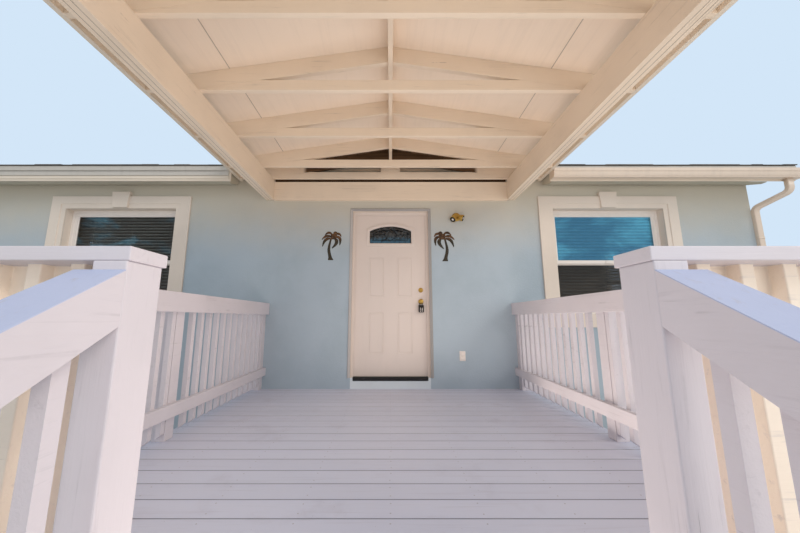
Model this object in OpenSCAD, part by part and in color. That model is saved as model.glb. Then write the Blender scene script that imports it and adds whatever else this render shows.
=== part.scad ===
// Small stucco bungalow with a raised timber front porch, from ground level up.
// Millimetres, +Z up, +Y into the house, +X to the right when facing the front door.
// The origin is on the ground, on the door's centre line, halfway through the front foundation wall.

/* [House] */
// Width of the house to the left of the door's centre line
house_left = 5340; // [4800:10:7000]
// Width of the house to the right of the door's centre line
house_right = 4680; // [4000:10:7000]
// Depth of the house, front face to back face
house_depth = 7600; // [6500:50:12000]
// Height of the walls above the floor
wall_h = 2440; // [2340:10:3000]
// Thickness of the stucco walls
wall_t = 200; // [150:5:300]
// Width of the foundation ledge that carries the floor
ledge_w = 100; // [60:5:200]
// Depth of the floor joists
floor_joist_h = 235; // [140:5:300]
// Thickness of the floor boards
floor_board_t = 20; // [15:1:40]
// Distance between floor joists
floor_joist_pitch = 610; // [400:10:800]

/* [House roof] */
// Rise of the house roof over a run of 12
house_pitch = 4; // [3:0.5:6]
// Depth of the house rafters
house_rafter_h = 184; // [140:1:235]
// Thickness of the roof sheathing and its covering
house_cover_t = 33; // [25:1:60]
// Distance between house rafters
house_rafter_pitch = 610; // [400:10:900]
// Distance from the wall's face to the face of the fascia
eave_out = 250; // [150:5:450]
// Overhang of the roof beyond the gable walls
rake_out = 335; // [150:5:500]
// Overhang of the roof covering beyond the fascia
drip_out = 25; // [10:1:40]
// Thickness of the fascia and rake boards
fascia_t = 19; // [15:1:38]
// Height of the fascia's foot above the uncut rafter tails
fascia_rise = 20; // [0:1:40]
// Depth of the rake boards, measured plumb
rake_h = 120; // [89:1:180]

/* [Gutters] */
// Width of the gutter
gutter_w = 110; // [90:1:150]
// Height of the gutter
gutter_h = 108; // [80:1:130]
// Distance of the gutter's top below the top of the fascia
gutter_drop = 72; // [20:1:90]
// Overhang of the gutter beyond the roof's gable edge
gutter_over = 10; // [0:1:40]
// Thickness of the gutter sheet
gutter_t = 3; // [2:0.5:5]
// Width of the downspouts
spout_w = 76; // [50:1:100]
// Depth of the downspouts
spout_d = 50; // [40:1:76]
// Thickness of the downspout sheet
spout_t = 2; // [1:0.5:4]
// Distance of the outlet beyond the gable wall
outlet_out = 200; // [130:1:230]
// Length of the straight pipe under the gutter's outlet
spout_drop = 156; // [80:2:200]
// Fall of the slanted pipe between its two bends
spout_fall = 134; // [60:2:300]
// Distance that each bend takes up beside its corner
spout_bend = 55; // [20:1:70]
// How far the downspouts stand out in front of the wall's face
spout_front = 40; // [0:1:45]

/* [Windows] */
// Width of a window opening
window_w = 1430; // [1000:10:1500]
// Height of a window opening
window_h = 1355; // [1000:5:1450]
// Distance of the meeting rails below the middle of the openings
meeting_drop = 15; // [0:5:60]
// Height of the window heads above the deck
window_head = 2235; // [2100:5:2300]
// Centre of the left front window, to the left of the door
window_left_x = 3495; // [3000:5:3600]
// Centre of the right front window, to the right of the door
window_right_x = 2820; // [2750:5:3000]
// Setback of a window from the wall's face
window_set = 90; // [40:5:110]
// Depth of a window frame
window_frame_d = 84; // [70:1:100]
// Width of the frame bars
window_bar = 30; // [20:1:45]
// Width of the sash bars
sash_bar = 36; // [25:1:50]
// Width of the cream surround beside the window
surround_w = 185; // [100:5:200]
// Height of the surround over and under the window
surround_h = 162; // [100:2:180]
// How far the surround stands out from the wall
surround_t = 22; // [15:1:40]
// How far the surround's inner lip stands back from its edge
lip_w = 60; // [30:5:80]

/* [Front door] */
// Width of the door leaf
door_w = 914; // [760:2:1000]
// Height of the door leaf
door_h = 2032; // [1980:1:2100]
// Thickness of the door leaf
door_t = 44; // [38:1:50]
// Clearance around the door leaf
door_gap = 7; // [5:0.5:10]
// Thickness of the door frame's jambs
jamb_t = 20; // [18:1:40]
// Height of the door frame's head
head_t = 30; // [20:1:60]
// Setback of the door leaf's outer face from the wall's face
door_set = 62; // [30:1:90]
// Height of the step from the deck up to the floor
door_step = 124; // [80:2:178]
// Width of the arched glass
lite_w = 540; // [400:5:600]
// Height of the glass sill above the leaf's foot
lite_z = 1656; // [1600:2:1700]
// Height of the glass at its sides
lite_side_h = 164; // [120:2:200]
// Rise of the arch over the glass
lite_rise = 64; // [40:1:90]
// Width of a door panel
panel_w = 190; // [140:2:220]
// Height of the door's upper panels
panel_up_h = 509; // [400:1:560]
// Height of the door's lower panels
panel_low_h = 505; // [400:1:560]

/* [Porch deck] */
// Number of stair risers from the ground to the deck
risers = 4; // [3:1:5]
// Height of a stair riser
riser_h = 178; // [150:1:190]
// Depth of the deck from the wall to its front edge
deck_d = 3204; // [2900:1:3600]
// Half the width of the deck
deck_half = 1640; // [1600:5:1700]
// Width of a deck board
board_w = 140; // [90:1:150]
// Gap between deck boards
board_gap = 3; // [2:0.5:6]
// Thickness of a deck board
board_t = 25; // [20:1:38]
// Width of the narrow board at the wall
board_first = 58; // [40:1:140]
// Overhang of the deck boards over the deck frame
deck_nosing = 33; // [20:1:40]
// Depth of the deck joists and girders
deck_joist_h = 184; // [140:1:235]
// Distance of the girders from the ends of the deck joists
girder_inset = 320; // [200:10:500]
// Distance between deck joists
deck_joist_pitch = 400; // [300:10:600]

/* [Lumber] */
// Thickness of the planks
plank_t = 38; // [32:1:45]
// Side of the square posts, and width of the narrow planks
post_w = 89; // [80:1:100]
// Width of the wide planks
plank_w = 140; // [120:1:150]
// Side of a baluster
baluster_w = 38; // [30:1:45]
// Distance between balusters
baluster_pitch = 118; // [100:1:130]

/* [Stairs] */
// Going of a stair tread
going = 294; // [260:1:320]
// Width between the stair newels
stair_w = 1350; // [1000:10:1400]
// Thickness of the risers
riser_t = 19; // [15:1:25]
// Width of the stair stringers
stringer_h = 286; // [235:1:300]
// Height of the stringers' top edges above the line of the treads
stringer_lift = 30; // [0:5:60]
// Overhang of a tread over its riser
tread_nosing = 20; // [10:1:30]

/* [Railings] */
// Height of the railing tops above the deck
rail_top = 1011; // [900:1:1070]
// Width of the stair hand rail
hand_rail_w = 135; // [100:1:145]
// Distance from the inner faces of the side railings to the centre line
rail_in = 1495; // [1460:5:1510]
// Height of the bottom rail above the deck
bottom_rail_z = 155; // [80:5:200]
// Gap between the deck and the feet of the balusters
baluster_foot = 25; // [15:1:60]
// Drop of the stair hand rails below the railing tops
hand_rail_drop = 62; // [30:1:120]
// Height of the boards of a stair railing, measured plumb
stair_board_h = 100; // [80:1:140]
// Drop of a stair's low rail below its hand rail
low_rail_drop = 760; // [600:5:800]
// Distance of the middle post of a side railing from the wall
middle_post_out = 1612; // [1300:2:1900]

/* [Porch roof] */
// Distance from the inner faces of the porch beams to the centre line
beam_in = 1515; // [1500:5:1530]
// Width of a porch beam
beam_w = 107; // [89:1:114]
// Height of the underside of the beams above the deck
beam_z = 2350; // [2300:5:2360]
// Depth of the porch beams
beam_h = 262; // [255:1:270]
// Rise of the porch roof per unit of run
porch_slope = 0.155; // [0.12:0.005:0.2]
// Distance from the centre line to the outer faces of the porch fascia
porch_half = 1980; // [1900:5:2100]
// Overhang of the porch roof beyond the deck's front edge
porch_over = 436; // [200:2:600]
// Thickness of the porch roof panels
porch_cover_t = 34; // [25:1:45]
// Overhang of the porch roof panels beyond the porch fascia
porch_drip = 20; // [10:1:40]
// Depth of the porch ridge board
ridge_board_h = 165; // [150:1:190]
// Distance from the wall to the front of the first full truss
truss_first = 417; // [380:1:450]
// Distance between the porch trusses; the last bay at the front takes what is left
truss_pitch = 645; // [500:5:700]
// Distance from the wall to the front of the truss against the wall
truss_wall = 91; // [78:1:110]
// Depth of the ledger on the wall
ledger_h = 249; // [235:1:286]
// Distance of the ledger's top under the tops of the beams
ledger_gap = 25; // [0:5:60]
// Width of the block under the ridge board beside the wall
king_w = 250; // [150:5:300]

/* [Wall fittings] */
// Height of the palm ornaments
palm_h = 375; // [300:5:450]
// Height of the palm ornaments' feet above the deck
palm_z = 1555; // [1400:5:1600]
// Distance of the left palm ornament from the centre line
palm_left_x = 757; // [700:5:900]
// Distance of the right palm ornament from the centre line
palm_right_x = 692; // [680:2:760]
// Thickness of the ornament sheet
palm_t = 6; // [3:1:10]
// Distance of the wall light from the centre line
light_x = 850; // [700:5:1000]
// Height of the wall light above the deck
light_z = 2120; // [2000:5:2150]
// Radius of the wall light's back plate
light_r = 56; // [40:1:70]

/* [Hidden] */

// Middle, half width and height of the palm ornaments' trunk, from the foot up
palm_trunk = [[0, 37, 0], [-4, 30, 16], [-8, 22, 35], [-14, 20, 60], [-24, 19, 100], [-28, 18, 135],
    [-24, 15, 180], [-14, 12, 225], [0, 11, 285]];
// Start, bend and tip of each frond of the palm ornaments
palm_fronds = [[[22, 325], [-48, 372], [-92, 306]], [[12, 300], [-70, 338], [-117, 254]],
    [[8, 275], [-92, 270], [-106, 170]], [[37, 330], [86, 372], [120, 300]],
    [[30, 292], [124, 312], [106, 186]], [[24, 272], [92, 240], [8, 148]]];
frond_w = 30;

white = "#f2f1ec";
cream = "#efe6cf";
stucco_blue = "#b9cdd8";
deck_grey = "#b9b4bd";
shingle_grey = "#6f6a66";
eps = 1;

face_y = -wall_t / 2;
back_y = face_y + house_depth;
inner_y = face_y + wall_t;
inner_back_y = back_y - wall_t;
ridge_y = face_y + house_depth / 2;
house_w = house_left + house_right;

deck_z = risers * riser_h;
floor_z = deck_z + door_step;
foundation_h = floor_z - floor_board_t - floor_joist_h;
wall_top = floor_z + wall_h;

house_slope = house_pitch / 12;
house_cos = cos(atan(house_slope));
rafter_v = house_rafter_h / house_cos;
cover_v = house_cover_t / house_cos;
roof_left = -house_left - rake_out;
roof_right = house_right + rake_out;
eave_y = face_y - eave_out;
spout_end = 30;
spout_foot_z = 0.8 * spout_w;
fascia_foot = wall_top - (eave_out - fascia_t) * house_slope + fascia_rise;
gutter_top = fascia_foot + rafter_v - gutter_drop;
gutter_floor_w = 0.78 * gutter_w;
outlet_x = house_right + outlet_out;
outlet_y = eave_y - 0.4 * gutter_floor_w;
pipe_x = house_right + spout_w / 2;
pipe_y = face_y - spout_front + spout_d / 2;
pipe_top = gutter_top - gutter_h;
bend_z = pipe_top - spout_drop;
pipe_z = bend_z - spout_fall;

door_clear_w = door_w + 2 * door_gap;
door_hole_w = door_clear_w + 2 * jamb_t;
door_z = floor_z + door_gap;
door_clear_z = door_z + door_h + door_gap;
door_hole_z = door_clear_z + head_t;
door_y = face_y + door_set;
stop_t = 12;
stop_gap = 5;
hinge_r = 6;
hinge_pin_r = 3;
hinge_run = 0.3;
hinge_h = 102;
hinge_leaf = 32;
hinge_leaf_t = 3;
hinge_x = -door_w / 2;
hinge_y = door_y + door_t + hinge_r;
hinge_zs = [230, 1016, 1800];
lite_frame = 45;
lite_proud = 5;
panel_gap = 180;
panel_up_z = 962;
panel_low_z = 267;
panel_depth = 8;
panel_edge = 26;
lock_plate_r = 33;
lock_x = 383;
bolt_z = 1048;
knob_z = 904;
knob_r = 27;
bolt_r = 22;

sill_z = deck_z + window_head - window_h;
glass_t = 6;
sash_y = window_set + 8;
sash_d = window_frame_d / 2 - 6;
meeting_z = window_h / 2 - meeting_drop;
lip_d = 8;
keystone_top = 230;
keystone_foot = 190;
keystone_t = 38;
keystone_rise = 54;
keystone_lap = 6;
keystone_cap_in = 10;
side_window_y = [house_depth * 0.27, house_depth * 0.73];
back_window_x = [-window_left_x, (window_right_x - window_left_x) / 2, window_right_x];

frame_out = deck_d - deck_nosing;
joist_top = deck_z - board_t;
girder_z = joist_top - 2 * deck_joist_h;
frame_half = deck_half - deck_nosing / 2;
girder_outs = [girder_inset, frame_out - girder_inset];
deck_post_xs = [-frame_half + girder_inset / 2, 0, frame_half - girder_inset / 2];

stair_half = stair_w / 2;
stair_slope = riser_h / going;
stair_foot_out = frame_out + riser_t + (risers - 1) * going;
tread_t = plank_t;
tread_d = going + tread_nosing - riser_t;
tread_half = stair_half - plank_t;
newel_out = frame_out - plank_t;
hand_rail_top = deck_z + rail_top - hand_rail_drop;
hand_rail_v = plank_t / cos(atan(stair_slope));
foot_newel_out = stair_foot_out + tread_nosing;

rail_out = rail_in + plank_t;
post_out = rail_out + post_w;
top_rail_z = deck_z + rail_top - plank_w;
low_rail_z = deck_z + bottom_rail_z;
corner_out = newel_out - 25;
cap_z = deck_z + rail_top - plank_t;

beam_out = beam_in + beam_w;
beam_top = deck_z + beam_z + beam_h;
porch_cos = cos(atan(porch_slope));
porch_rafter_v = plank_w / porch_cos;
porch_cover_v = porch_cover_t / porch_cos;
ridge_top = beam_top + porch_slope * beam_out + porch_rafter_v;
tail_x = porch_half - plank_t;
baluster_bevel = 0.8 * baluster_w;
rail_back = 8;
cap_inside = 5;
cap_behind = 12;
porch_d = deck_d + porch_over;
cover_half = porch_half + porch_drip;
seat_gap = 0.3;
tie_top = beam_top + post_w;
ridge_board_z = ridge_top - ridge_board_h;
truss_front = porch_d - plank_t;
truss_n = floor((truss_front - truss_first) / truss_pitch);
truss_outs = concat([truss_wall], [for (i = [0 : truss_n]) truss_first + i * truss_pitch], [truss_front]);
tie_half = beam_out - plank_t;

// Underside of the house roof's rafters at a distance y from the ridge side of the front face
function rafter_foot(y) = wall_top + (y - face_y) * house_slope;

// Underside of the house roof's sheathing
function sheathing_foot(y) = rafter_foot(y) + rafter_v;

// Top of the house roof's covering
function roof_top(y) = sheathing_foot(y) + cover_v;

// Top of the porch rafters at a distance x from the centre line
function porch_top(x) = ridge_top - porch_slope * x;

// Underside of the porch rafters at a distance x from the centre line
function porch_foot(x) = porch_top(x) - porch_rafter_v;

// Top of the stair hand rail at a distance out from the wall
function hand_rail_z(out) = hand_rail_top - (out - frame_out) * stair_slope;

// Draws its children twice, the second time mirrored across the door's centre line
module both_sides() {
    children();
    mirror([1, 0, 0]) children();
}

// Draws a front half twice, the second time mirrored across the ridge
module both_slopes() {
    children();
    translate([0, 2 * ridge_y, 0]) mirror([0, 1, 0]) children();
}

// A block given by its lowest and highest corners
module block(low, high) {
    translate(low) cube(high - low);
}

// A block on the porch: from x1 to x2, from out1 to out2 in front of the wall, from z1 to z2
module porch_block(x1, x2, out1, out2, z1, z2) {
    block([x1, face_y - out2, z1], [x2, face_y - out1, z2]);
}

// An outline in depth and height, carried from x1 to x2
module along_x(x1, x2, outline) {
    translate([x1, 0, 0]) rotate([90, 0, 90]) linear_extrude(x2 - x1) polygon(outline);
}

// An outline in width and height, carried back from out2 to out1 in front of the wall
module along_y(out1, out2, outline) {
    translate([0, face_y - out1, 0]) rotate([90, 0, 0]) linear_extrude(out2 - out1) polygon(outline);
}

// Places its children, made on a front wall, on the given side at a place along that wall
module on_wall(side, place) {
    if (side == "front") translate([place, face_y, 0]) children();
    if (side == "back") translate([place, back_y, 0]) rotate([0, 0, 180]) children();
    if (side == "left") translate([-house_left, face_y + place, 0]) rotate([0, 0, -90]) children();
    if (side == "right") translate([house_right, face_y + place, 0]) rotate([0, 0, 90]) children();
}

// The hole that a window needs in its wall
module window_hole() {
    block([-window_w / 2, -eps, sill_z], [window_w / 2, wall_t + eps, sill_z + window_h]);
}

// Every window of the two front places
module front_windows() {
    on_wall("front", -window_left_x) children();
    on_wall("front", window_right_x) children();
}

// Every window of the sides and the back
module other_windows() {
    for (y = side_window_y) {
        on_wall("left", y) children();
        on_wall("right", y) children();
    }
    for (x = back_window_x) on_wall("back", x) children();
}

// A ring of bars between an outer and an inner rectangle, from y1 to y2
module ring(half, z1, z2, bar, y1, y2) {
    difference() {
        block([-half, y1, z1], [half, y2, z2]);
        block([-half + bar, y1 - eps, z1 + bar], [half - bar, y2 + eps, z2 - bar]);
    }
}

module foundation() {
    wide = wall_t + ledge_w;
    color(stucco_blue) difference() {
        block([-house_left, face_y, 0], [house_right, back_y, foundation_h]);
        block([-house_left + wide, face_y + wide, -eps],
            [house_right - wide, back_y - wide, foundation_h + eps]);
    }
}

module floor() {
    left = -house_left + wall_t;
    right = house_right - wall_t;
    joist_n = floor((right - left - plank_t) / floor_joist_pitch);
    color("burlywood") union() {
        block([left, inner_y, floor_z - floor_board_t], [right, inner_back_y, floor_z]);
        for (i = [0 : joist_n])
            translate([left + i * floor_joist_pitch, 0, 0])
                block([0, inner_y, foundation_h], [plank_t, inner_back_y, floor_z - floor_board_t + eps]);
    }
}

// Profile of the front wall, its top cut to the slope of the sheathing
front_profile = [[face_y, foundation_h], [inner_y, foundation_h],
    [inner_y, sheathing_foot(inner_y)], [face_y, sheathing_foot(face_y)]];

module front_wall_left() {
    color(stucco_blue) difference() {
        along_x(-house_left, -door_hole_w / 2, front_profile);
        on_wall("front", -window_left_x) window_hole();
    }
}

module front_wall_right() {
    color(stucco_blue) difference() {
        along_x(door_hole_w / 2, house_right, front_profile);
        on_wall("front", window_right_x) window_hole();
    }
}

module front_wall_over_door() {
    color(stucco_blue) intersection() {
        along_x(-door_hole_w / 2, door_hole_w / 2, front_profile);
        block([-door_hole_w, face_y - eps, door_hole_z], [door_hole_w, inner_y + eps, roof_top(ridge_y)]);
    }
}

module back_wall() {
    color(stucco_blue) difference() {
        at_back() along_x(-house_left, house_right, front_profile);
        for (x = back_window_x) on_wall("back", x) window_hole();
    }
}

// Moves a piece made at the front to the same place at the back
module at_back() {
    translate([0, 2 * ridge_y, 0]) mirror([0, 1, 0]) children();
}

// A gable wall between the front and back walls, up to the sheathing
module gable_wall(x1, x2) {
    along_x(x1, x2, [[inner_y, foundation_h], [inner_back_y, foundation_h],
        [inner_back_y, sheathing_foot(inner_y)], [ridge_y, sheathing_foot(ridge_y)],
        [inner_y, sheathing_foot(inner_y)]]);
}

module left_wall() {
    color(stucco_blue) difference() {
        gable_wall(-house_left, -house_left + wall_t);
        for (y = side_window_y) on_wall("left", y) window_hole();
    }
}

module right_wall() {
    color(stucco_blue) difference() {
        gable_wall(house_right - wall_t, house_right);
        for (y = side_window_y) on_wall("right", y) window_hole();
    }
}

// One slope of the house roof: sheathing, inner rafters and rafter tails
module roof_slope() {
    edge_y = eave_y - drip_out;
    tail_y = eave_y + fascia_t;
    cut_y = face_y + (fascia_foot - wall_top) / house_slope;
    rafter_n = floor((house_w - 2 * wall_t - plank_t) / house_rafter_pitch);
    along_x(roof_left, roof_right, [[edge_y, sheathing_foot(edge_y)], [ridge_y, sheathing_foot(ridge_y)],
        [ridge_y, roof_top(ridge_y)], [edge_y, roof_top(edge_y)]]);
    for (i = [0 : rafter_n]) {
        x = -house_left + wall_t + i * house_rafter_pitch;
        along_x(x, x + plank_t, [[inner_y, rafter_foot(inner_y)], [ridge_y, rafter_foot(ridge_y)],
            [ridge_y, sheathing_foot(ridge_y) + eps], [inner_y, sheathing_foot(inner_y) + eps]]);
        along_x(x, x + plank_t, [[tail_y, fascia_foot], [cut_y, fascia_foot], [face_y, rafter_foot(face_y)],
            [face_y, sheathing_foot(face_y) + eps], [tail_y, sheathing_foot(tail_y) + eps]]);
    }
}

module house_roof_front() {
    color(shingle_grey) difference() {
        roof_slope();
        block([-cover_half - seat_gap, eave_y - 2 * drip_out, 0],
            [cover_half + seat_gap, face_y, roof_top(ridge_y)]);
    }
}

module house_roof_back() {
    color(shingle_grey) at_back() roof_slope();
}

// A straight fascia board under the front edge of the roof
module fascia_board(x1, x2) {
    foot_y = eave_y + fascia_t;
    along_x(x1, x2, [[eave_y, fascia_foot], [foot_y, fascia_foot],
        [foot_y, sheathing_foot(foot_y)], [eave_y, sheathing_foot(eave_y)]]);
}

module fascia_boards() {
    left = roof_left + fascia_t;
    right = roof_right - fascia_t;
    color(cream) union() {
        fascia_board(left, -porch_half);
        fascia_board(porch_half, right);
        at_back() fascia_board(left, right);
    }
}

// A pair of sloping boards under the roof's gable edge
module rake_pair(x1) {
    both_slopes() along_x(x1, x1 + fascia_t, [[eave_y, fascia_foot], [eave_y + fascia_t, fascia_foot],
        [eave_y + fascia_t, sheathing_foot(eave_y + fascia_t) - rake_h],
        [ridge_y, sheathing_foot(ridge_y) - rake_h], [ridge_y, sheathing_foot(ridge_y)],
        [eave_y, sheathing_foot(eave_y)]]);
}

module rake_boards() {
    color(cream) union() {
        rake_pair(roof_left);
        rake_pair(roof_right - fascia_t);
    }
}

// Half of a gutter's outline, moved inwards by t: back, floor, swept front and lip
function gutter_side(t) = concat(
    [[-t, 0], [-t, -gutter_h + t], [-gutter_floor_w + t / 2, -gutter_h + t]],
    [for (a = [0 : 15 : 90]) [-gutter_floor_w + t - 0.14 * gutter_w * sin(a),
        -gutter_h * 0.92 + t + 0.5 * gutter_h * (1 - cos(a))]],
    [[-gutter_w + t, -gutter_h * 0.34], [-gutter_w + t, 0]]);

function reversed(list) = [for (i = [len(list) - 1 : -1 : 0]) list[i]];

// A gutter with closed ends, hung on the front fascia
module gutter(x1, x2) {
    translate([0, eave_y, gutter_top]) {
        along_x(x1, x2, concat(gutter_side(0), reversed(gutter_side(gutter_t))));
        along_x(x1, x1 + gutter_t, gutter_side(0));
        along_x(x2 - gutter_t, x2, gutter_side(0));
    }
}

module gutters() {
    color(cream) difference() {
        union() {
            gutter(porch_half, roof_right + gutter_over);
            at_back() gutter(roof_left - gutter_over, roof_right + gutter_over);
        }
        both_slopes() translate([outlet_x, outlet_y, pipe_top])
            cube([spout_w - 2 * spout_t, spout_d - 2 * spout_t, 3 * gutter_t], center = true);
    }
}

// A point at a distance r from a, on the way to b
function towards(a, b, r) = a + (b - a) * r / norm(b - a);

// Points of a rounded corner at b, on a parabola between its two sides
function bend(a, b, c) = let (p = towards(b, a, spout_bend), q = towards(b, c, spout_bend))
    [for (t = [0 : 0.25 : 1]) p * (1 - t) * (1 - t) + b * 2 * t * (1 - t) + q * t * t];

// The middle line of a downspout: down from the gutter, back to the wall, down it and out at the foot
function spout_path(grow) = let (
    top = [outlet_x, outlet_y, pipe_top - spout_end / 2 + grow],
    upper = [outlet_x, outlet_y, bend_z],
    lower = [pipe_x, pipe_y, pipe_z],
    turn = [pipe_x, pipe_y, spout_foot_z + spout_w],
    foot = [pipe_x, pipe_y - 2 * spout_w - grow, spout_foot_z])
    concat([top], bend(top, upper, lower), bend(upper, lower, turn), bend(lower, turn, foot), [foot]);

// A solid pipe along a path, each of its sides moved inwards by t
module spout_run(path, t) {
    for (i = [1 : len(path) - 1]) hull() {
        translate(path[i - 1]) cube([spout_w, spout_d, spout_end] - 2 * [t, t, t], center = true);
        translate(path[i]) cube([spout_w, spout_d, spout_end] - 2 * [t, t, t], center = true);
    }
}

// A hollow downspout, open at the gutter and at its foot
module downspout() {
    difference() {
        spout_run(spout_path(0), 0);
        spout_run(spout_path(2 * spout_t), spout_t);
    }
}

module downspouts() {
    color(cream) both_slopes() downspout();
}

// The flat band round a window, with a raised outer edge, a sill and a keystone
module surround() {
    outer = window_w / 2 + surround_w;
    foot = sill_z - surround_h;
    head = sill_z + window_h + surround_h;
    lintel = sill_z + window_h;
    top = head + keystone_rise;
    color(cream) {
        difference() {
            block([-outer, -surround_t, foot], [outer, 0, head]);
            block([-window_w / 2, -surround_t - eps, sill_z], [window_w / 2, eps, lintel]);
            block([-window_w / 2 - lip_w, -surround_t - eps, sill_z - lip_w],
                [window_w / 2 + lip_w, -surround_t + lip_d, lintel + lip_w]);
        }
        translate([0, -surround_t + lip_d, 0]) rotate([90, 0, 0]) linear_extrude(keystone_t - lip_d)
            polygon([[-keystone_foot / 2, lintel + keystone_lap], [keystone_foot / 2, lintel + keystone_lap],
                [keystone_top / 2, top], [-keystone_top / 2, top]]);
        rotate([90, 0, 0]) linear_extrude(keystone_t)
            polygon([[-keystone_top / 2 + keystone_cap_in, head - eps],
                [keystone_top / 2 - keystone_cap_in, head - eps],
                [keystone_top / 2, top], [-keystone_top / 2, top]]);
    }
}

// The fixed frame of a window with its upper and lower sash
module window_frame() {
    half = window_w / 2;
    head = sill_z + window_h;
    inner = half - window_bar;
    mid = sill_z + meeting_z;
    color(white) {
        ring(half, sill_z, head, window_bar, window_set, window_set + window_frame_d);
        ring(inner, mid - sash_bar / 2, head - window_bar, sash_bar, sash_y, sash_y + sash_d);
        ring(inner, sill_z + window_bar, mid + sash_bar / 2, sash_bar, sash_y + sash_d, sash_y + 2 * sash_d);
    }
}

// The two panes of a window
module window_panes() {
    inner = window_w / 2 - window_bar - sash_bar;
    mid = sill_z + meeting_z;
    y1 = sash_y + sash_d / 2 - glass_t / 2;
    color("lightblue", 0.4) {
        block([-inner, y1, mid + sash_bar / 2],
            [inner, y1 + glass_t, sill_z + window_h - window_bar - sash_bar]);
        block([-inner, y1 + sash_d, sill_z + window_bar + sash_bar],
            [inner, y1 + sash_d + glass_t, mid - sash_bar / 2]);
    }
}

module front_window_surrounds() {
    front_windows() surround();
}

module front_window_frames() {
    front_windows() window_frame();
}

module front_window_glass() {
    front_windows() window_panes();
}

module other_window_surrounds() {
    other_windows() surround();
}

module other_window_frames() {
    other_windows() window_frame();
}

module other_window_glass() {
    other_windows() window_panes();
}

// Jambs and head, with a stop that the leaf closes against from the inside
module door_frame() {
    half = door_clear_w / 2;
    hole = door_hole_w / 2;
    stop_y = door_y - stop_gap;
    color(white) difference() {
        block([-hole, stop_y - stop_t, floor_z], [hole, inner_y, door_hole_z]);
        block([-half, stop_y, floor_z - eps], [half, inner_y + eps, door_clear_z]);
        block([-half + stop_t, face_y - eps, floor_z - eps], [half - stop_t, inner_y, door_clear_z - stop_t]);
    }
}

// The step under the door, as deep as the wall
module door_sill() {
    color(white) block([-door_hole_w / 2, face_y, foundation_h], [door_hole_w / 2, inner_y, floor_z]);
}

// A stretch of hinge knuckle from z1 to z2 on the hinge's axis
module knuckle(z1, z2, r) {
    translate([hinge_x, hinge_y, z1]) cylinder(r = r, h = z2 - z1, $fn = 32);
}

// The frame's half of each hinge: a leaf on the jamb, two knuckles and the pin
module door_hinges() {
    jamb_x = -door_clear_w / 2;
    leaf_x = jamb_x + hinge_leaf_t / 2;
    clear_y = hinge_y + hinge_r + hinge_leaf_t;
    third = hinge_h / 3;
    color("goldenrod") for (z = hinge_zs) translate([0, 0, door_z + z]) {
        for (z1 = [0, 2 * third]) {
            knuckle(z1, z1 + third, hinge_r);
            block([jamb_x, hinge_y, z1], [hinge_x - hinge_r / 2, hinge_y + hinge_leaf_t, z1 + third]);
            block([jamb_x, hinge_y, z1], [leaf_x, clear_y + eps, z1 + third]);
        }
        block([jamb_x, clear_y, 0], [leaf_x, hinge_y + hinge_leaf, hinge_h]);
        knuckle(0, hinge_h, hinge_pin_r);
    }
}

// The door's half of each hinge: the middle knuckle, bored for the pin, and a leaf on the door's inner face
module door_knuckles() {
    third = hinge_h / 3;
    for (z = hinge_zs) translate([0, 0, door_z + z]) difference() {
        union() {
            knuckle(third + hinge_run, 2 * third - hinge_run, hinge_r);
            block([hinge_x, door_y + door_t - eps, third + hinge_run],
                [hinge_x + hinge_leaf, door_y + door_t + hinge_leaf_t, 2 * third - hinge_run]);
        }
        knuckle(0, hinge_h, hinge_pin_r + hinge_run);
    }
}

// Outline of the arched glass: straight sides and a low round arch, grown by g on every side
module lite_outline(g) {
    half = lite_w / 2;
    arch_r = (half * half + lite_rise * lite_rise) / (2 * lite_rise);
    top = lite_z + lite_side_h + lite_rise;
    intersection() {
        translate([-half - g, lite_z - g]) square([lite_w + 2 * g, lite_side_h + lite_rise + 2 * g]);
        translate([0, top - arch_r]) circle(r = arch_r + g, $fn = 180);
    }
}

// The groove round a raised door panel, in the outer face of the leaf
module door_panel(x, z, h) {
    translate([x, door_y, door_z + z]) difference() {
        translate([-panel_w / 2, -eps, 0]) cube([panel_w, panel_depth + eps, h]);
        translate([-panel_w / 2 + panel_edge, -2 * eps, panel_edge])
            cube([panel_w - 2 * panel_edge, panel_depth + 4 * eps, h - 2 * panel_edge]);
    }
}

module front_door() {
    color(white) door_knuckles();
    color(white) difference() {
        union() {
            block([-door_w / 2, door_y, door_z], [door_w / 2, door_y + door_t, door_z + door_h]);
            translate([0, door_y + door_t + lite_proud, door_z]) rotate([90, 0, 0])
                linear_extrude(door_t + 2 * lite_proud) lite_outline(lite_frame);
        }
        translate([0, door_y + door_t + 2 * lite_proud, door_z]) rotate([90, 0, 0])
            linear_extrude(door_t + 4 * lite_proud) lite_outline(0);
        for (x = [-panel_gap, panel_gap]) {
            door_panel(x, panel_up_z, panel_up_h);
            door_panel(x, panel_low_z, panel_low_h);
        }
    }
}

module door_glass() {
    color("lightblue", 0.4) translate([0, door_y + door_t / 2 + glass_t / 2, door_z])
        rotate([90, 0, 0]) linear_extrude(glass_t) lite_outline(0);
}

// A knob or bolt on both faces of the leaf, as a turned profile
module turned(x, z, profile) {
    translate([x, door_y, door_z + z]) rotate([90, 0, 0]) rotate_extrude($fn = 48) polygon(profile);
    translate([x, door_y + door_t, door_z + z]) rotate([-90, 0, 0]) rotate_extrude($fn = 48) polygon(profile);
}

module door_hardware() {
    plate = [[0, 0], [lock_plate_r, 0], [lock_plate_r, 5]];
    neck_r = 0.45 * knob_r;
    knob = concat(plate, [[neck_r, 10], [neck_r, 24]],
        [for (a = [-60 : 15 : 90]) [knob_r * cos(a), 44 + 17 * sin(a)]]);
    bolt = concat(plate, [[bolt_r, 10], [bolt_r, 20], [bolt_r - 4, 24], [0, 24]]);
    color("goldenrod") {
        turned(lock_x, knob_z, knob);
        turned(lock_x, bolt_z, bolt);
    }
}

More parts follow.
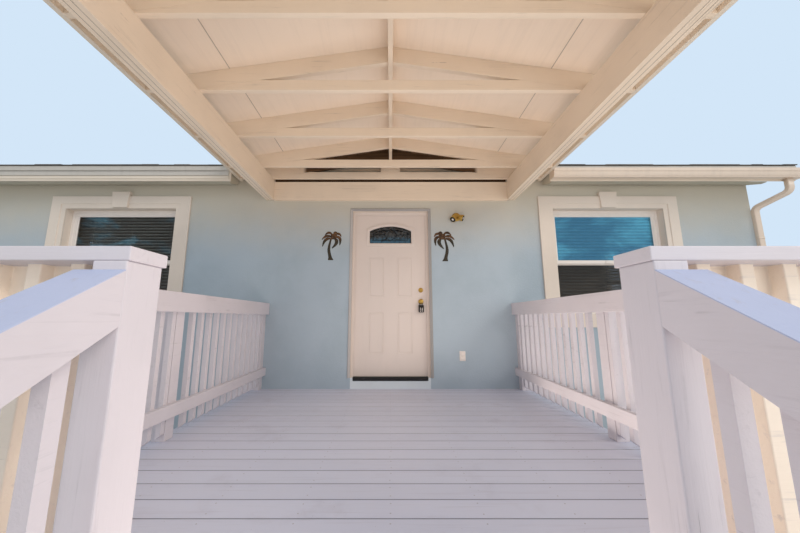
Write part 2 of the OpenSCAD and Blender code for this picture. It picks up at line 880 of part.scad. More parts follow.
module deck_boards() {
    pitch = board_w + board_gap;
    board_n = ceil((deck_d - board_first - board_gap) / pitch);
    color(deck_grey) {
        porch_block(-deck_half, deck_half, 0, board_first, joist_top, deck_z);
        for (i = [0 : board_n - 1]) {
            start = board_first + board_gap + i * pitch;
            porch_block(-deck_half, deck_half, start, min(start + board_w, deck_d), joist_top, deck_z);
        }
    }
}

module deck_frame() {
    foot = joist_top - deck_joist_h;
    inner = frame_half - plank_t;
    joist_n = round(2 * inner / deck_joist_pitch);
    color("tan") union() {
        difference() {
            porch_block(-frame_half, frame_half, 0, frame_out, foot, joist_top);
            porch_block(-inner, inner, plank_t, frame_out - plank_t, foot - eps, joist_top + eps);
        }
        for (i = [1 : joist_n - 1])
            translate([-inner + i * 2 * inner / joist_n - plank_t / 2, 0, 0])
                porch_block(0, plank_t, plank_t - eps, frame_out - plank_t + eps, foot, joist_top);
    }
}

module deck_girders() {
    color("tan") for (out = girder_outs)
        porch_block(-frame_half, frame_half, out - plank_t, out + plank_t, girder_z, girder_z + deck_joist_h);
}

module deck_posts() {
    color("tan") for (out = girder_outs, x = deck_post_xs)
        porch_block(x - post_w / 2, x + post_w / 2, out - post_w / 2, out + post_w / 2, 0, girder_z);
}

// A sloping side board of the stair, cut level at the ground and plumb at the deck and the foot
module stringer() {
    edge_z = deck_z + stringer_lift;
    top_out = frame_out + (edge_z - joist_top) / stair_slope;
    under_z = edge_z - stringer_h / cos(atan(stair_slope));
    end_out = foot_newel_out;
    translate([stair_half, 0, 0]) rotate([0, -90, 0]) linear_extrude(plank_t) polygon([
        [joist_top, face_y - frame_out], [joist_top, face_y - top_out],
        [edge_z - (end_out - frame_out) * stair_slope, face_y - end_out], [0, face_y - end_out],
        [0, face_y - (frame_out + under_z / stair_slope)], [under_z, face_y - frame_out]]);
}

module stair_stringers() {
    color(deck_grey) both_sides() stringer();
}

module stair_treads() {
    color(deck_grey) for (i = [1 : risers - 1]) {
        front = stair_foot_out - (i - 1) * going + tread_nosing;
        porch_block(-tread_half, tread_half, front - tread_d, front, i * riser_h - tread_t, i * riser_h);
    }
}

module stair_risers() {
    color(deck_grey) for (i = [0 : risers - 1]) {
        out = stair_foot_out - i * going;
        tread_over = i == risers - 1 ? board_t : tread_t;
        porch_block(-tread_half, tread_half, out - riser_t, out, i * riser_h, (i + 1) * riser_h - tread_over);
    }
}

// A baluster with a bevelled foot, standing in front of x between two heights
module baluster(x, out, z1, z2) {
    translate([x, face_y - out + baluster_w / 2, 0]) rotate([90, 0, 0]) linear_extrude(baluster_w)
        polygon([[0, z1 + baluster_bevel], [baluster_w, z1], [baluster_w, z2], [0, z2]]);
}

// The railing on one side of the deck: wall post, middle post, two rails and balusters
module side_railing() {
    end = corner_out - post_w;
    bay_n = floor((end - post_w) / baluster_pitch);
    union() {
        porch_block(rail_out, post_out, 0, post_w, deck_z, cap_z);
        porch_block(rail_out, post_out, middle_post_out - post_w / 2, middle_post_out + post_w / 2,
            deck_z, cap_z);
        porch_block(rail_in, rail_out, 0, end, top_rail_z, deck_z + rail_top);
        porch_block(rail_in, rail_out, 0, end, low_rail_z, low_rail_z + post_w);
        for (i = [1 : bay_n]) {
            out = post_w + i * baluster_pitch - baluster_pitch / 2;
            if (abs(out - middle_post_out) > post_w / 2 + baluster_w / 2)
                baluster(rail_out, out, deck_z + baluster_foot, deck_z + rail_top - plank_w / 2);
        }
    }
}

module side_railings() {
    color(white) both_sides() side_railing();
}

// The railing at the front of the deck between a newel and a corner post
module front_railing() {
    start = stair_half + post_w;
    span = rail_out - start;
    bay_n = floor(span / baluster_pitch);
    first = (span - (bay_n - 1) * baluster_pitch) / 2;
    rail_mid = newel_out - post_w / 2 - rail_back;
    union() {
        porch_block(stair_half - cap_inside, rail_out, newel_out - post_w - cap_behind,
            newel_out + plank_t, cap_z, cap_z + plank_t);
        porch_block(start, rail_out, rail_mid - plank_t, rail_mid, cap_z - post_w, cap_z);
        porch_block(start, rail_out, rail_mid - plank_t, rail_mid, low_rail_z, low_rail_z + post_w);
        for (i = [0 : bay_n - 1])
            translate([start + first + i * baluster_pitch - baluster_w / 2, face_y - rail_mid, 0])
                rotate([90, 0, 90]) linear_extrude(baluster_w) polygon([
                    [0, deck_z + baluster_foot + baluster_bevel], [0, cap_z],
                    [-baluster_w, cap_z], [-baluster_w, deck_z + baluster_foot]]);
    }
}

module front_railings() {
    color(white) both_sides() front_railing();
}

module newel_posts() {
    color(white) both_sides() {
        porch_block(stair_half, stair_half + post_w, newel_out - post_w, newel_out + plank_t, deck_z, cap_z);
    }
}

// The sloping railing on one side of the stair, with a newel at its foot
module stair_railing() {
    foot_out = foot_newel_out;
    board_z = hand_rail_v;
    low_z = low_rail_drop;
    end = foot_out - post_w;
    bay_n = floor((end - newel_out - plank_t) / baluster_pitch);
    union() {
        sloping(stair_half, stair_half + hand_rail_w, frame_out, foot_out + plank_t, 0, hand_rail_v);
        sloping(stair_half, stair_half + plank_t, frame_out, end + eps,
            board_z - eps, board_z + stair_board_h);
        sloping(stair_half, stair_half + plank_t, frame_out, end + eps, low_z, low_z + stair_board_h);
        for (i = [1 : bay_n]) {
            out = frame_out + (i - 0.25) * baluster_pitch;
            translate([stair_half + plank_t - eps, 0, 0])
                sloping(0, baluster_w + eps, out - baluster_w / 2, out + baluster_w / 2,
                    board_z - eps, low_z + 1.4 * stair_board_h);
        }
        difference() {
            porch_block(stair_half, stair_half + post_w, foot_out - post_w, foot_out, 0, hand_rail_top);
            sloping(0, deck_half, frame_out, foot_out + going, -hand_rail_top, hand_rail_v / 2);
        }
    }
}

// A bar that follows the stair's slope: its top lies down1 under the hand rail's top, its foot down2
module sloping(x1, x2, out1, out2, down1, down2) {
    along_x(x1, x2, [[face_y - out1, hand_rail_z(out1) - down1], [face_y - out1, hand_rail_z(out1) - down2],
        [face_y - out2, hand_rail_z(out2) - down2], [face_y - out2, hand_rail_z(out2) - down1]]);
}

module stair_railings() {
    color(white) both_sides() stair_railing();
}

module porch_posts() {
    color(white) both_sides()
        porch_block(rail_out, post_out, corner_out - post_w, corner_out, deck_z, deck_z + beam_z);
}

module porch_beams() {
    color(white) both_sides()
        porch_block(beam_in, beam_out, 0, porch_d - plank_t, deck_z + beam_z, beam_top);
}

module porch_ledger() {
    top = beam_top - ledger_gap;
    color(white) porch_block(-beam_in, beam_in, 0, plank_t, top - ledger_h, top);
}

// A tie in the plane of its rafters, its ends cut to the slope under them
module porch_tie(out) {
    top_x = (porch_foot(0) - seat_gap - tie_top) / porch_slope;
    end_z = porch_foot(tie_half) - seat_gap;
    along_y(out - plank_t, out, [[-tie_half, beam_top], [tie_half, beam_top], [tie_half, end_z],
        [top_x, tie_top], [-top_x, tie_top], [-tie_half, end_z]]);
}

module porch_ties() {
    color(white) for (out = truss_outs) porch_tie(out);
}

// A rafter from the ridge board to the fascia, with a level cut under its tail
module porch_rafter(out) {
    ridge_x = plank_t / 2;
    along_y(out - plank_t, out, [[ridge_x, porch_top(ridge_x) - seat_gap], [ridge_x, porch_foot(ridge_x)],
        [beam_out, beam_top], [tail_x, beam_top], [tail_x, porch_top(tail_x) - seat_gap]]);
}

module porch_rafters() {
    color(white) both_sides() for (out = truss_outs) porch_rafter(out);
}

module porch_king_block() {
    color(white) porch_block(-king_w / 2, king_w / 2, truss_wall - plank_t, truss_wall,
        tie_top, ridge_board_z - seat_gap);
}

// Everything below the top of the house roof, behind the wall's face
module under_house_roof() {
    along_x(-2 * porch_half, 2 * porch_half, [[face_y, 0], [face_y, roof_top(face_y)],
        [ridge_y, roof_top(ridge_y)], [ridge_y, 0]]);
}

module porch_ridge_board() {
    color(white) difference() {
        porch_block(-plank_t / 2, plank_t / 2, -house_depth / 3, truss_front,
            ridge_board_z, porch_top(plank_t / 2) - seat_gap);
        under_house_roof();
    }
}

module porch_roof_panels() {
    color(shingle_grey) difference() {
        both_sides() along_y(-house_depth / 3, porch_d + porch_drip, [[0, ridge_top],
            [cover_half, porch_top(cover_half)], [cover_half, porch_top(cover_half) + porch_cover_v],
            [0, ridge_top + porch_cover_v]]);
        under_house_roof();
    }
}

// Side fascia boards on the rafter tails and sloping boards across the front
module porch_fascia() {
    color(cream) both_sides() {
        along_y(0, porch_d, [[tail_x, beam_top], [porch_half, beam_top],
            [porch_half, porch_top(porch_half) - seat_gap], [tail_x, porch_top(tail_x) - seat_gap]]);
        along_y(porch_d - plank_t, porch_d, [[0, ridge_top - seat_gap], [0, ridge_top - porch_rafter_v],
            [tail_x, beam_top], [porch_half, beam_top], [porch_half, porch_top(porch_half) - seat_gap]]);
    }
}

// A leaf round a curved middle line that leaves a, bends towards b and ends at c
module frond(a, b, c) {
    function middle(t) = a * (1 - t) * (1 - t) + b * 2 * t * (1 - t) + c * t * t;
    function across(t) = let (d = (b - a) * (1 - t) + (c - b) * t) [-d[1], d[0]] / norm(d);
    function half_w(t) = frond_w / 2 * pow(sin(170 * pow(t, 0.8) + 5), 0.7);
    function edge(t, side) = middle(t) + side * across(t) * half_w(t);
    polygon(concat([for (t = [0 : 0.1 : 1]) edge(t, 1)], [for (t = [1 : -0.1 : 0]) edge(t, -1)]));
}

// The part of a palm's trunk between two of its heights
module palm_slice(low, high) {
    polygon([[low[0] - low[1], low[2]], [low[0] + low[1], low[2]],
        [high[0] + high[1], high[2]], [high[0] - high[1], high[2]]]);
}

// A flat sheet palm: a bowed trunk on a flared foot, six drooping fronds and a tuft, its foot at the origin
module palm() {
    scale(palm_h / 363) linear_extrude(palm_t) union() {
        for (i = [1 : len(palm_trunk) - 1]) palm_slice(palm_trunk[i - 1], palm_trunk[i]);
        for (f = palm_fronds) frond(f[0], f[1], f[2]);
        translate([12, 285]) circle(r = 26, $fn = 32);
        translate([38, 341]) circle(r = 22, $fn = 32);
        translate([12, 270]) square([30, 70]);
    }
}

module palm_ornaments() {
    color("#5b4636") {
        translate([-palm_left_x, face_y, deck_z + palm_z]) rotate([90, 0, 0]) palm();
        translate([palm_right_x, face_y, deck_z + palm_z]) rotate([90, 0, 0]) mirror([1, 0, 0]) palm();
    }
}

// A round back plate with a neck and two lamp heads that point left and right
module wall_light() {
    head_y = -0.95 * light_r;
    head_r = 0.5 * light_r;
    reach = 1.45 * light_r;
    neck = 0.28 * light_r;
    plate_t = 22;
    color("goldenrod") translate([light_x, face_y, deck_z + light_z]) union() {
        rotate([90, 0, 0]) rotate_extrude($fn = 64)
            polygon([[0, 0], [light_r, 0], [light_r, plate_t / 3], [0.7 * light_r, plate_t], [0, plate_t]]);
        translate([-neck / 2, head_y, -neck / 2]) cube([neck, -head_y - plate_t / 4, neck]);
        translate([0, head_y, 0]) rotate([0, 90, 0]) rotate_extrude($fn = 48)
            polygon([[0, -reach], [head_r, -reach], [0.8 * head_r, -0.5 * reach], [neck, -0.2 * reach],
                [neck, 0.2 * reach], [0.8 * head_r, 0.5 * reach], [head_r, reach], [0, reach]]);
    }
}

foundation();
floor();
front_wall_left();
front_wall_right();
front_wall_over_door();
left_wall();
right_wall();
back_wall();
house_roof_front();
house_roof_back();
fascia_boards();
rake_boards();
gutters();
downspouts();
front_window_surrounds();
front_window_frames();
front_window_glass();
other_window_surrounds();
other_window_frames();
other_window_glass();
door_frame();
door_sill();
door_hinges();
front_door();
door_glass();
door_hardware();
deck_boards();
deck_frame();
deck_girders();
deck_posts();
stair_stringers();
stair_treads();
stair_risers();
side_railings();
front_railings();
newel_posts();
stair_railings();
porch_posts();
porch_beams();
porch_ledger();
porch_ties();
porch_rafters();
porch_king_block();
porch_ridge_board();
porch_roof_panels();
porch_fascia();
palm_ornaments();
wall_light();
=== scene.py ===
"""Looks of a small stucco bungalow with a raised timber porch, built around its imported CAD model.

Every size is in metres in the model's own frame: x=0 is the door's centre line, +Y runs into the house, and
the ground is z=0.
"""

import math

import bpy
import numpy as np
from bpy.props import FloatProperty, FloatVectorProperty, IntProperty, PointerProperty
from bpy.types import Operator, Panel, PropertyGroup
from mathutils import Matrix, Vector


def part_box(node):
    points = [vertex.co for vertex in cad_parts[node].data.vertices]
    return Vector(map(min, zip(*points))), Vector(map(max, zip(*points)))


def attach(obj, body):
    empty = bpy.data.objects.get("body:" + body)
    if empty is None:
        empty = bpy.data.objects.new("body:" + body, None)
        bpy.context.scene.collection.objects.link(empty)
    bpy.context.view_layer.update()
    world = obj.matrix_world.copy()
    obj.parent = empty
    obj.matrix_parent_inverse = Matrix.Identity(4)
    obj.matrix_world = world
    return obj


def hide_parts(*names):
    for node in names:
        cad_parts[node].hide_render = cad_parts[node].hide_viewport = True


bl_info = {
    "name": "Bungalow looks",
    "version": (1, 0, 0),
    "blender": (4, 5, 0),
    "location": "View3D > Sidebar > Bungalow",
    "description": "Finishes and small parts of a stucco bungalow with a timber porch",
    "category": "Object",
}

# Places are read from the model's boxes. What a box can't tell is given here, in metres.
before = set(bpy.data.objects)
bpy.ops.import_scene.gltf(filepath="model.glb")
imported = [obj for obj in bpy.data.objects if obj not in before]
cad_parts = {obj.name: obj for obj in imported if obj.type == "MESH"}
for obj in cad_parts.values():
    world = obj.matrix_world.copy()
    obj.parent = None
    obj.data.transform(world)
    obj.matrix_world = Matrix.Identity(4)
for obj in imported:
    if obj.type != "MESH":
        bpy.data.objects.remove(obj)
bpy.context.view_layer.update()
base_low, base_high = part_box("foundation")
roof_low, roof_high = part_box("house_roof_front")
porch_low, porch_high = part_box("porch_roof_panels")
glass_low, glass_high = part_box("front_window_glass")
fascia_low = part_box("fascia_boards")[0]
gutter_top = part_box("gutters")[1]
deck_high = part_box("deck_boards")[1]
rails_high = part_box("stair_railings")[1]

HOUSE = "house"
DOOR = "front_door"

# The house's walls, floor and roof. A cover is the thickness of sheathing and shingles, measured upright.
FACE_Y = deck_high.y
RIDGE_Y = roof_high.y
BACK_Y = 2 * RIDGE_Y - FACE_Y
WALL_T = 0.2
FLOOR_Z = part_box("floor")[1].z
HOUSE_SLOPE = 1 / 3
HOUSE_COVER = 0.033
FASCIA_Y = fascia_low.y
SOFFIT_Z = fascia_low.z
TAIL_RISE = 0.057
MEETING_Z = (glass_low.z + glass_high.z) / 2 - 0.015

# The porch: its roof, the bare boards beside the wall, the deck, the railing's cap, the stair and the palms.
PORCH_SLOPE = 0.155
PORCH_COVER = 0.034
BEAM_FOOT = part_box("porch_beams")[0].z
BARE_DEPTH = 0.3
DECK_Z = deck_high.z
BOARD_PITCH = 0.143
FIRST_BOARD = 0.061
CAP_Z = DECK_Z + 0.973
TREAD_RUN = 0.294
STAIR_SLOPE = 0.178 / TREAD_RUN
PALM_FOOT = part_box("palm_ornaments")[0].z

# The front door, its lock and its arched glass.
DOOR_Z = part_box("front_door")[0].z
DOOR_FACE = FACE_Y + 0.062
DOOR_T = 0.044
DOOR_HALF = 0.457
LOCK_X = 0.383
KNOB_Z = DOOR_Z + 0.904
BOLT_Z = DOOR_Z + 1.048
LITE_HALF = 0.27
LITE_Z = DOOR_Z + 1.656
LITE_RISE = 0.064
LITE_R = (LITE_HALF**2 + LITE_RISE**2) / (2 * LITE_RISE)
LITE_TOP = LITE_Z + 0.164 + LITE_RISE


def linear(digits):
    """Six sRGB hex digits as a linear colour: c/12.92 below 0.04045, else ((c+0.055)/1.055)^2.4."""
    srgb = np.array([int(digits[i : i + 2], 16) for i in (0, 2, 4)]) / 255
    return tuple(np.where(srgb <= 0.04045, srgb / 12.92, ((srgb + 0.055) / 1.055) ** 2.4).tolist())


def colour(name, digits, description):
    """A colour property with its default given as sRGB hex digits."""
    return FloatVectorProperty(
        name=name, description=description, default=linear(digits), subtype="COLOR", size=3, min=0, max=1
    )


def length(name, default, description):
    """A length property in metres."""
    return FloatProperty(name=name, description=description, default=default, min=0, unit="LENGTH")


class BungalowSizes(PropertyGroup):
    """Sizes of the parts that are added to the model."""

    course: length("Shingle course", 0.145, "Visible height of one row of shingles")
    shingle: length("Shingle thickness", 0.006, "Thickness of the thin shingle tabs at their lower edge")
    tab: length("Shingle tab", 0.24, "Average width of a shingle tab")
    slat: length("Blind slat", 0.05, "Width of a blind's slat")
    slat_pitch: length("Slat pitch", 0.042, "Distance between the slats of a blind")
    slat_tilt: FloatProperty(
        name="Slat tilt", description="Tilt of the blinds' slats", default=math.radians(8), subtype="ANGLE"
    )
    came: length("Came width", 0.007, "Width of the lead cames in the door's glass")
    screw: length("Screw radius", 0.0038, "Radius of the heads of the deck screws")
    palm: length("Palm height", 0.375, "Height of the palm ornaments")
    pipe_bend: length("Pipe bend", 0.055, "Radius of the bends of the downspouts")
    seed: IntProperty(name="Seed", description="Seed of everything that varies at random", default=7)


class BungalowColours(PropertyGroup):
    """Colours of the finishes."""

    stucco: colour("Wall stucco", "b1bfca", "Pale grey-blue paint on the stucco walls")
    stucco_shade: colour("Wall stains", "a3b2bc", "Faint darker patches of the stucco walls")
    # Painted light and shade: the door's return is darker than the walls at its top and right side, and a lighter
    # copy of it is its lit left side.
    stucco_dull: colour("Dull stucco", "a7a3a1", "Duller paint of the return round the front door")
    # Painted light: a warm tint at the top of the walls, standing for the light thrown back from under the eaves.
    faded: colour("Faded stucco", "d4c9b4", "Dusty paint at the top of the walls")
    band: colour("Window bands", "eaddd0", "Cream stucco bands round the windows")
    white: colour("White paint", "d8d1d6", "Cool white paint on the railings and newels")
    # Painted light: the tops of the stair's hand rails are bluish, standing for the sky's light on them.
    rail_top: colour("Rail tops", "bac2dd", "Cooler, bluish coat on the tops of the stair's hand rails")
    # Painted light: the front railings' balusters are warmer, standing for sunlight falling on them.
    baluster: colour("Balusters", "f8e9d8", "Warm coat on the balusters of the front railings")
    warm: colour("Warm paint", "f4e1cb", "Warm white paint under the porch roof")
    ceiling: colour("Ceiling", "f8e6d3", "White underside of the porch roof")
    trim: colour("Trim", "eee1d0", "Cream fascia and rake boards")
    metal: colour("Gutter enamel", "e8d5c3", "Cream enamel of gutters and downspouts")
    vinyl: colour("Window vinyl", "f2e9e2", "Creamy white vinyl of the window frames")
    deck: colour("Deck paint", "d2d4e4", "Pale lilac grey paint of the deck and the stair")
    deck_worn: colour("Worn deck", "b7b5c2", "Worn places of the deck paint")
    door: colour("Door paint", "dfd2ca", "Creamy white paint of the front door")
    # Painted reflection: the blue of the sky that the upper sashes show in clouds, also along the foot of the door's
    # glass.
    glass: colour("Window glass", "437c9b", "Blue that the upper sashes mirror")
    screened: colour("Screened glass", "3a352f", "Brown-grey of the lower sashes")
    door_glass: colour("Door glass", "2c3236", "Dark grey tint of the door's glass")
    came: colour("Cames", "1c1e22", "Dark lead of the cames")
    shingle: colour("Shingles", "8b857e", "Grey-brown roof shingles")
    shingle_dark: colour("Dark shingles", "5d5853", "Darker roof shingles")
    lumber: colour("Deck lumber", "a08a6a", "Weathered treated lumber under the deck")
    lumber_dark: colour("Lumber grain", "6d5b45", "Dark grain of the treated lumber")
    boards: colour("Floor boards", "b98a58", "Varnished floor boards in the house")
    brass: colour("Brass", "dfb860", "Brass of the door's hardware and the wall light")
    bronze: colour("Bronze", "73543a", "Rusty bronze of the palm ornaments")
    trunk: colour("Palm trunk", "4c463b", "Dark olive brown of the palms' trunks")
    bronze_dark: colour("Dark bronze", "3c3029", "Dark places of the palm ornaments")
    sill: colour("Door sill", "dde5eb", "Pale paint of the sill under the front door")
    soffit: colour("Soffit", "b9b4a4", "Grey beige boards under the eaves")
    drip: colour("Drip edge", "cfc9c0", "Pale grey metal along the eaves")
    screw: colour("Screw heads", "b2afb8", "Painted over heads of the deck screws")
    old_wood: colour("Bare wood", "6f543c", "Unpainted boards beside the wall under the porch roof")
    rubber: colour("Rubber", "1d1c1d", "Weather strips, lock box and lamp ends")
    slat: colour("Blind", "cfd2cc", "Slats of the blinds")
    stage: colour("Stage floor", "e6e4e0", "Plain pale floor")
    sky: colour("Backdrop", "d3e6f8", "Plain pale backdrop")


def maths(operation, swapped=False):
    """A method that adds one Math node. Swapped, it serves Python's operators from the right."""

    def method(self, *others):
        values = (*others, self) if swapped else (self, *others)
        return self.finish.node("ShaderNodeMath", {"operation": operation}, dict(enumerate(values)))

    return method


class Signal:
    """A shader value. Python's operators on it add Math nodes, and a plain number may stand on either side."""

    __add__, __radd__ = maths("ADD"), maths("ADD", True)
    __sub__, __rsub__ = maths("SUBTRACT"), maths("SUBTRACT", True)
    __mul__, __rmul__ = maths("MULTIPLY"), maths("MULTIPLY", True)
    __truediv__ = maths("DIVIDE")
    __mod__ = maths("FLOORED_MODULO")
    __abs__ = maths("ABSOLUTE")
    floor = maths("FLOOR")

    def __init__(self, finish, socket):
        self.finish = finish
        self.socket = socket

    def output(self, name):
        """Another output of the same node."""
        return Signal(self.finish, self.socket.node.outputs[name])

    def step(self, low, high):
        """0 below low, 1 above high, and a smooth step between them. With low above high it falls instead."""
        inputs = {"Value": self, "From Min": low, "From Max": high}
        return self.finish.node("ShaderNodeMapRange", {"interpolation_type": "SMOOTHSTEP"}, inputs)

    def near(self, place, half, soft):
        """1 within half of a place, falling to 0 over a soft distance."""
        return abs(self - place).step(half + soft, half)


class Finish:
    """A material under construction: one method adds any node, and the others name common patterns."""

    def __init__(self, name, **constants):
        self.material = bpy.data.materials.new(name)
        self.material.use_nodes = True
        self.tree = self.material.node_tree
        self.shader = self.tree.nodes["Principled BSDF"]
        self.colour = None
        self.place = self.node("ShaderNodeTexCoord", out="Object")
        xyz = self.node("ShaderNodeSeparateXYZ", {}, {"Vector": self.place}, out="X")
        self.x, self.y, self.z = xyz, xyz.output("Y"), xyz.output("Z")
        for socket, value in constants.items():
            self.feed(self.shader.inputs[socket.replace("_", " ")], value)

    def node(self, kind, settings=None, inputs=None, out=0):
        """Adds one node with its settings and inputs, and gives one of its outputs."""
        made = self.tree.nodes.new(kind)
        for key, value in (settings or {}).items():
            setattr(made, key, value)
        for key, value in (inputs or {}).items():
            self.feed(made.inputs[key], value)
        return Signal(self, made.outputs[out])

    def feed(self, socket, value):
        """Links a value to a socket, or sets a constant on it."""
        if isinstance(value, Signal):
            self.tree.links.new(value.socket, socket)
        elif socket.type == "RGBA":
            socket.default_value = (*value[:3], 1.0)
        else:
            socket.default_value = value

    def stretched(self, factors):
        """The object's coordinates, drawn out along each axis whose factor is small."""
        return self.node("ShaderNodeMapping", {}, {"Vector": self.place, "Scale": factors})

    def noise(self, scale, detail=3.0, roughness=0.5, stretch=(1, 1, 1), distortion=0.0):
        """Cloudy noise from 0 to 1."""
        inputs = {"Scale": scale, "Detail": detail, "Roughness": roughness, "Distortion": distortion}
        return self.node("ShaderNodeTexNoise", {}, {"Vector": self.stretched(stretch), **inputs})

    def cells(self, scale, stretch=(1, 1, 1)):
        """The distance to the nearest of scattered points."""
        inputs = {"Vector": self.stretched(stretch), "Scale": scale}
        return self.node("ShaderNodeTexVoronoi", {}, inputs, out="Distance")

    def scatter(self, value):
        """A random number from 0 to 1 for each whole number of value."""
        return self.node("ShaderNodeTexWhiteNoise", {"noise_dimensions": "1D"}, {"W": value.floor()})

    def mix(self, mask, low, high):
        """The colour low where the mask is 0 and high where it is 1."""
        return self.node("ShaderNodeMix", {"data_type": "RGBA"}, {0: mask, 6: low, 7: high}, out=2)

    def coat(self, mask, paint):
        """Lays a colour over the one so far where the mask is 1."""
        self.colour = self.mix(mask, self.colour, paint)

    def surface(self, rough=None, metal=None, height=None, distance=0.002, strength=1.0, alpha=None):
        """Feeds the varying inputs of the shader. height is a relief from 0 to 1, distance its depth in metres."""
        fed = {"Base Color": self.colour, "Roughness": rough, "Metallic": metal, "Alpha": alpha}
        if height is not None:
            relief = {"Strength": strength, "Distance": distance, "Height": height}
            fed["Normal"] = self.node("ShaderNodeBump", {}, relief)
        for socket, value in fed.items():
            if value is not None:
                self.feed(self.shader.inputs[socket], value)
        return self.material


def shade(rgb, factor):
    """A colour made darker or lighter by a factor."""
    return tuple(min(1.0, channel * factor) for channel in rgb)


# Noise is drawn out along a board's axis.
GRAIN = {"x": (0.05, 1, 1), "y": (1, 0.05, 1), "z": (1, 1, 0.05)}


def painted(name, paint, axis, wear=0.5, rough=0.5, second=None, lines=None, bare=None):
    """Brushed paint on sawn lumber: long ridges along the board's axis, soft stains, and small chips.

    second is a coat of painted light (sky light on the stair's rail tops, sunlight on the balusters), and bare the
    wood of boards that were never painted, each as (its mask's function, colour). lines is the function for the mask
    of dark joints between plies.
    """
    f = Finish(name, Specular_IOR_Level=0.35)
    ridges = f.noise(46.0, 6.0, 0.62, GRAIN[axis], 0.4)
    fine = f.noise(190.0, 3.0, 0.6, GRAIN[axis])
    stains = f.noise(2.3, 4.0, 0.55)
    blotch = f.noise(11.0, 4.0, 0.6)
    streaks = ridges.step(0.56, 0.74) * (0.35 + 0.65 * blotch.step(0.4, 0.65))
    f.colour = f.mix(stains.step(0.35, 0.75) * 0.5, paint, shade(paint, 0.88))
    if second is not None:
        mask, coat = second
        f.coat(mask(f), f.mix(stains.step(0.35, 0.75) * 0.5, coat, shade(coat, 0.88)))
    f.coat(streaks * wear, shade(paint, 0.66))
    chips = f.noise(38.0, 2.0, 0.5, GRAIN[axis]).step(0.74, 0.78) * blotch.step(0.5, 0.6)
    f.coat(chips * wear * 0.8, shade(paint, 0.45))
    along = tuple(1.0 if part == 1 else 0.008 for part in GRAIN[axis])
    checks = abs(f.noise(11.0, 1.0, 0.5, along) - 0.5).step(0.0035, 0.001) * stains.step(0.54, 0.62)
    f.coat(checks * wear * 0.6, shade(paint, 0.4))
    height = ridges * 0.7 + fine * 0.25 - chips * 0.6 - checks * 0.8
    if lines is not None:
        joint = lines(f)
        f.coat(joint * 0.8, shade(paint, 0.2))
        height = height - joint * 1.5
    if bare is not None:
        mask, wood = bare
        f.coat(mask(f), f.mix(ridges.step(0.4, 0.7), wood, shade(wood, 0.4)))
    return f.surface(rough + 0.2 * ridges - 0.1, height=height, distance=0.0035, strength=0.55)


def beam_plies(f):
    """The joints between the three plies of a porch beam, on its underside."""
    plies = abs(f.x).near(1.553, 0.0008, 0.0016) + abs(f.x).near(1.591, 0.0008, 0.0016)
    return plies * f.z.step(BEAM_FOOT + 0.006, BEAM_FOOT + 0.003)


def rail_tops(f):
    """The upper faces of the stair's hand rails, which get a bluish coat of painted sky light: above a plane that
    falls with the stair.
    """
    return (f.z - (rails_high.z - (rails_high.y - f.y) * STAIR_SLOPE)).step(-0.004, -0.002)


def under_cap(f):
    """Everything below the flat cap of the front railing: the balusters, which get a warm coat of painted sunlight.
    """
    return f.z.step(CAP_Z, CAP_Z - 0.003)


def beside_wall(f):
    """The boards of the porch roof that lie beside the wall, between the beams."""
    return f.y.near(FACE_Y - BARE_DEPTH / 2, BARE_DEPTH / 2, 0.02) * abs(f.x).step(1.14, 1.08)


def deck_paint(name, paint, worn, board=BOARD_PITCH, first=FIRST_BOARD):
    """Deck enamel: each board has its own tone, long grain across the porch, scuffs, a few dark specks, and dark
    edges: painted shade of the gaps with the grime in them.
    """
    f = Finish(name, Specular_IOR_Level=0.4)
    out = (FACE_Y - first) - f.y
    tone = f.scatter(out / board)
    grain = f.noise(40.0, 6.0, 0.65, GRAIN["x"], 0.5)
    fine = f.noise(170.0, 3.0, 0.6, GRAIN["x"])
    scuffs = f.noise(3.4, 5.0, 0.62)
    f.colour = f.mix(tone * 0.6, paint, shade(paint, 0.92))
    f.coat(grain.step(0.52, 0.76) * 0.42, worn)
    f.coat(scuffs.step(0.55, 0.75) * 0.35, worn)
    specks = f.noise(60.0, 2.0, 0.5).step(0.76, 0.79)
    f.coat(specks * 0.5, shade(worn, 0.5))
    # Dark lines along each board's edges: painted shade of the gaps between the boards, with the grime that gathers
    # in them.
    edge = abs(out / board % 1 - 0.5).step(0.5 - 0.006 / board, 0.5 - 0.0025 / board)
    f.coat(edge * 0.85, shade(worn, 0.3))
    return f.surface(0.42 + 0.25 * scuffs, height=grain * 0.7 + fine * 0.3, distance=0.003, strength=0.5)


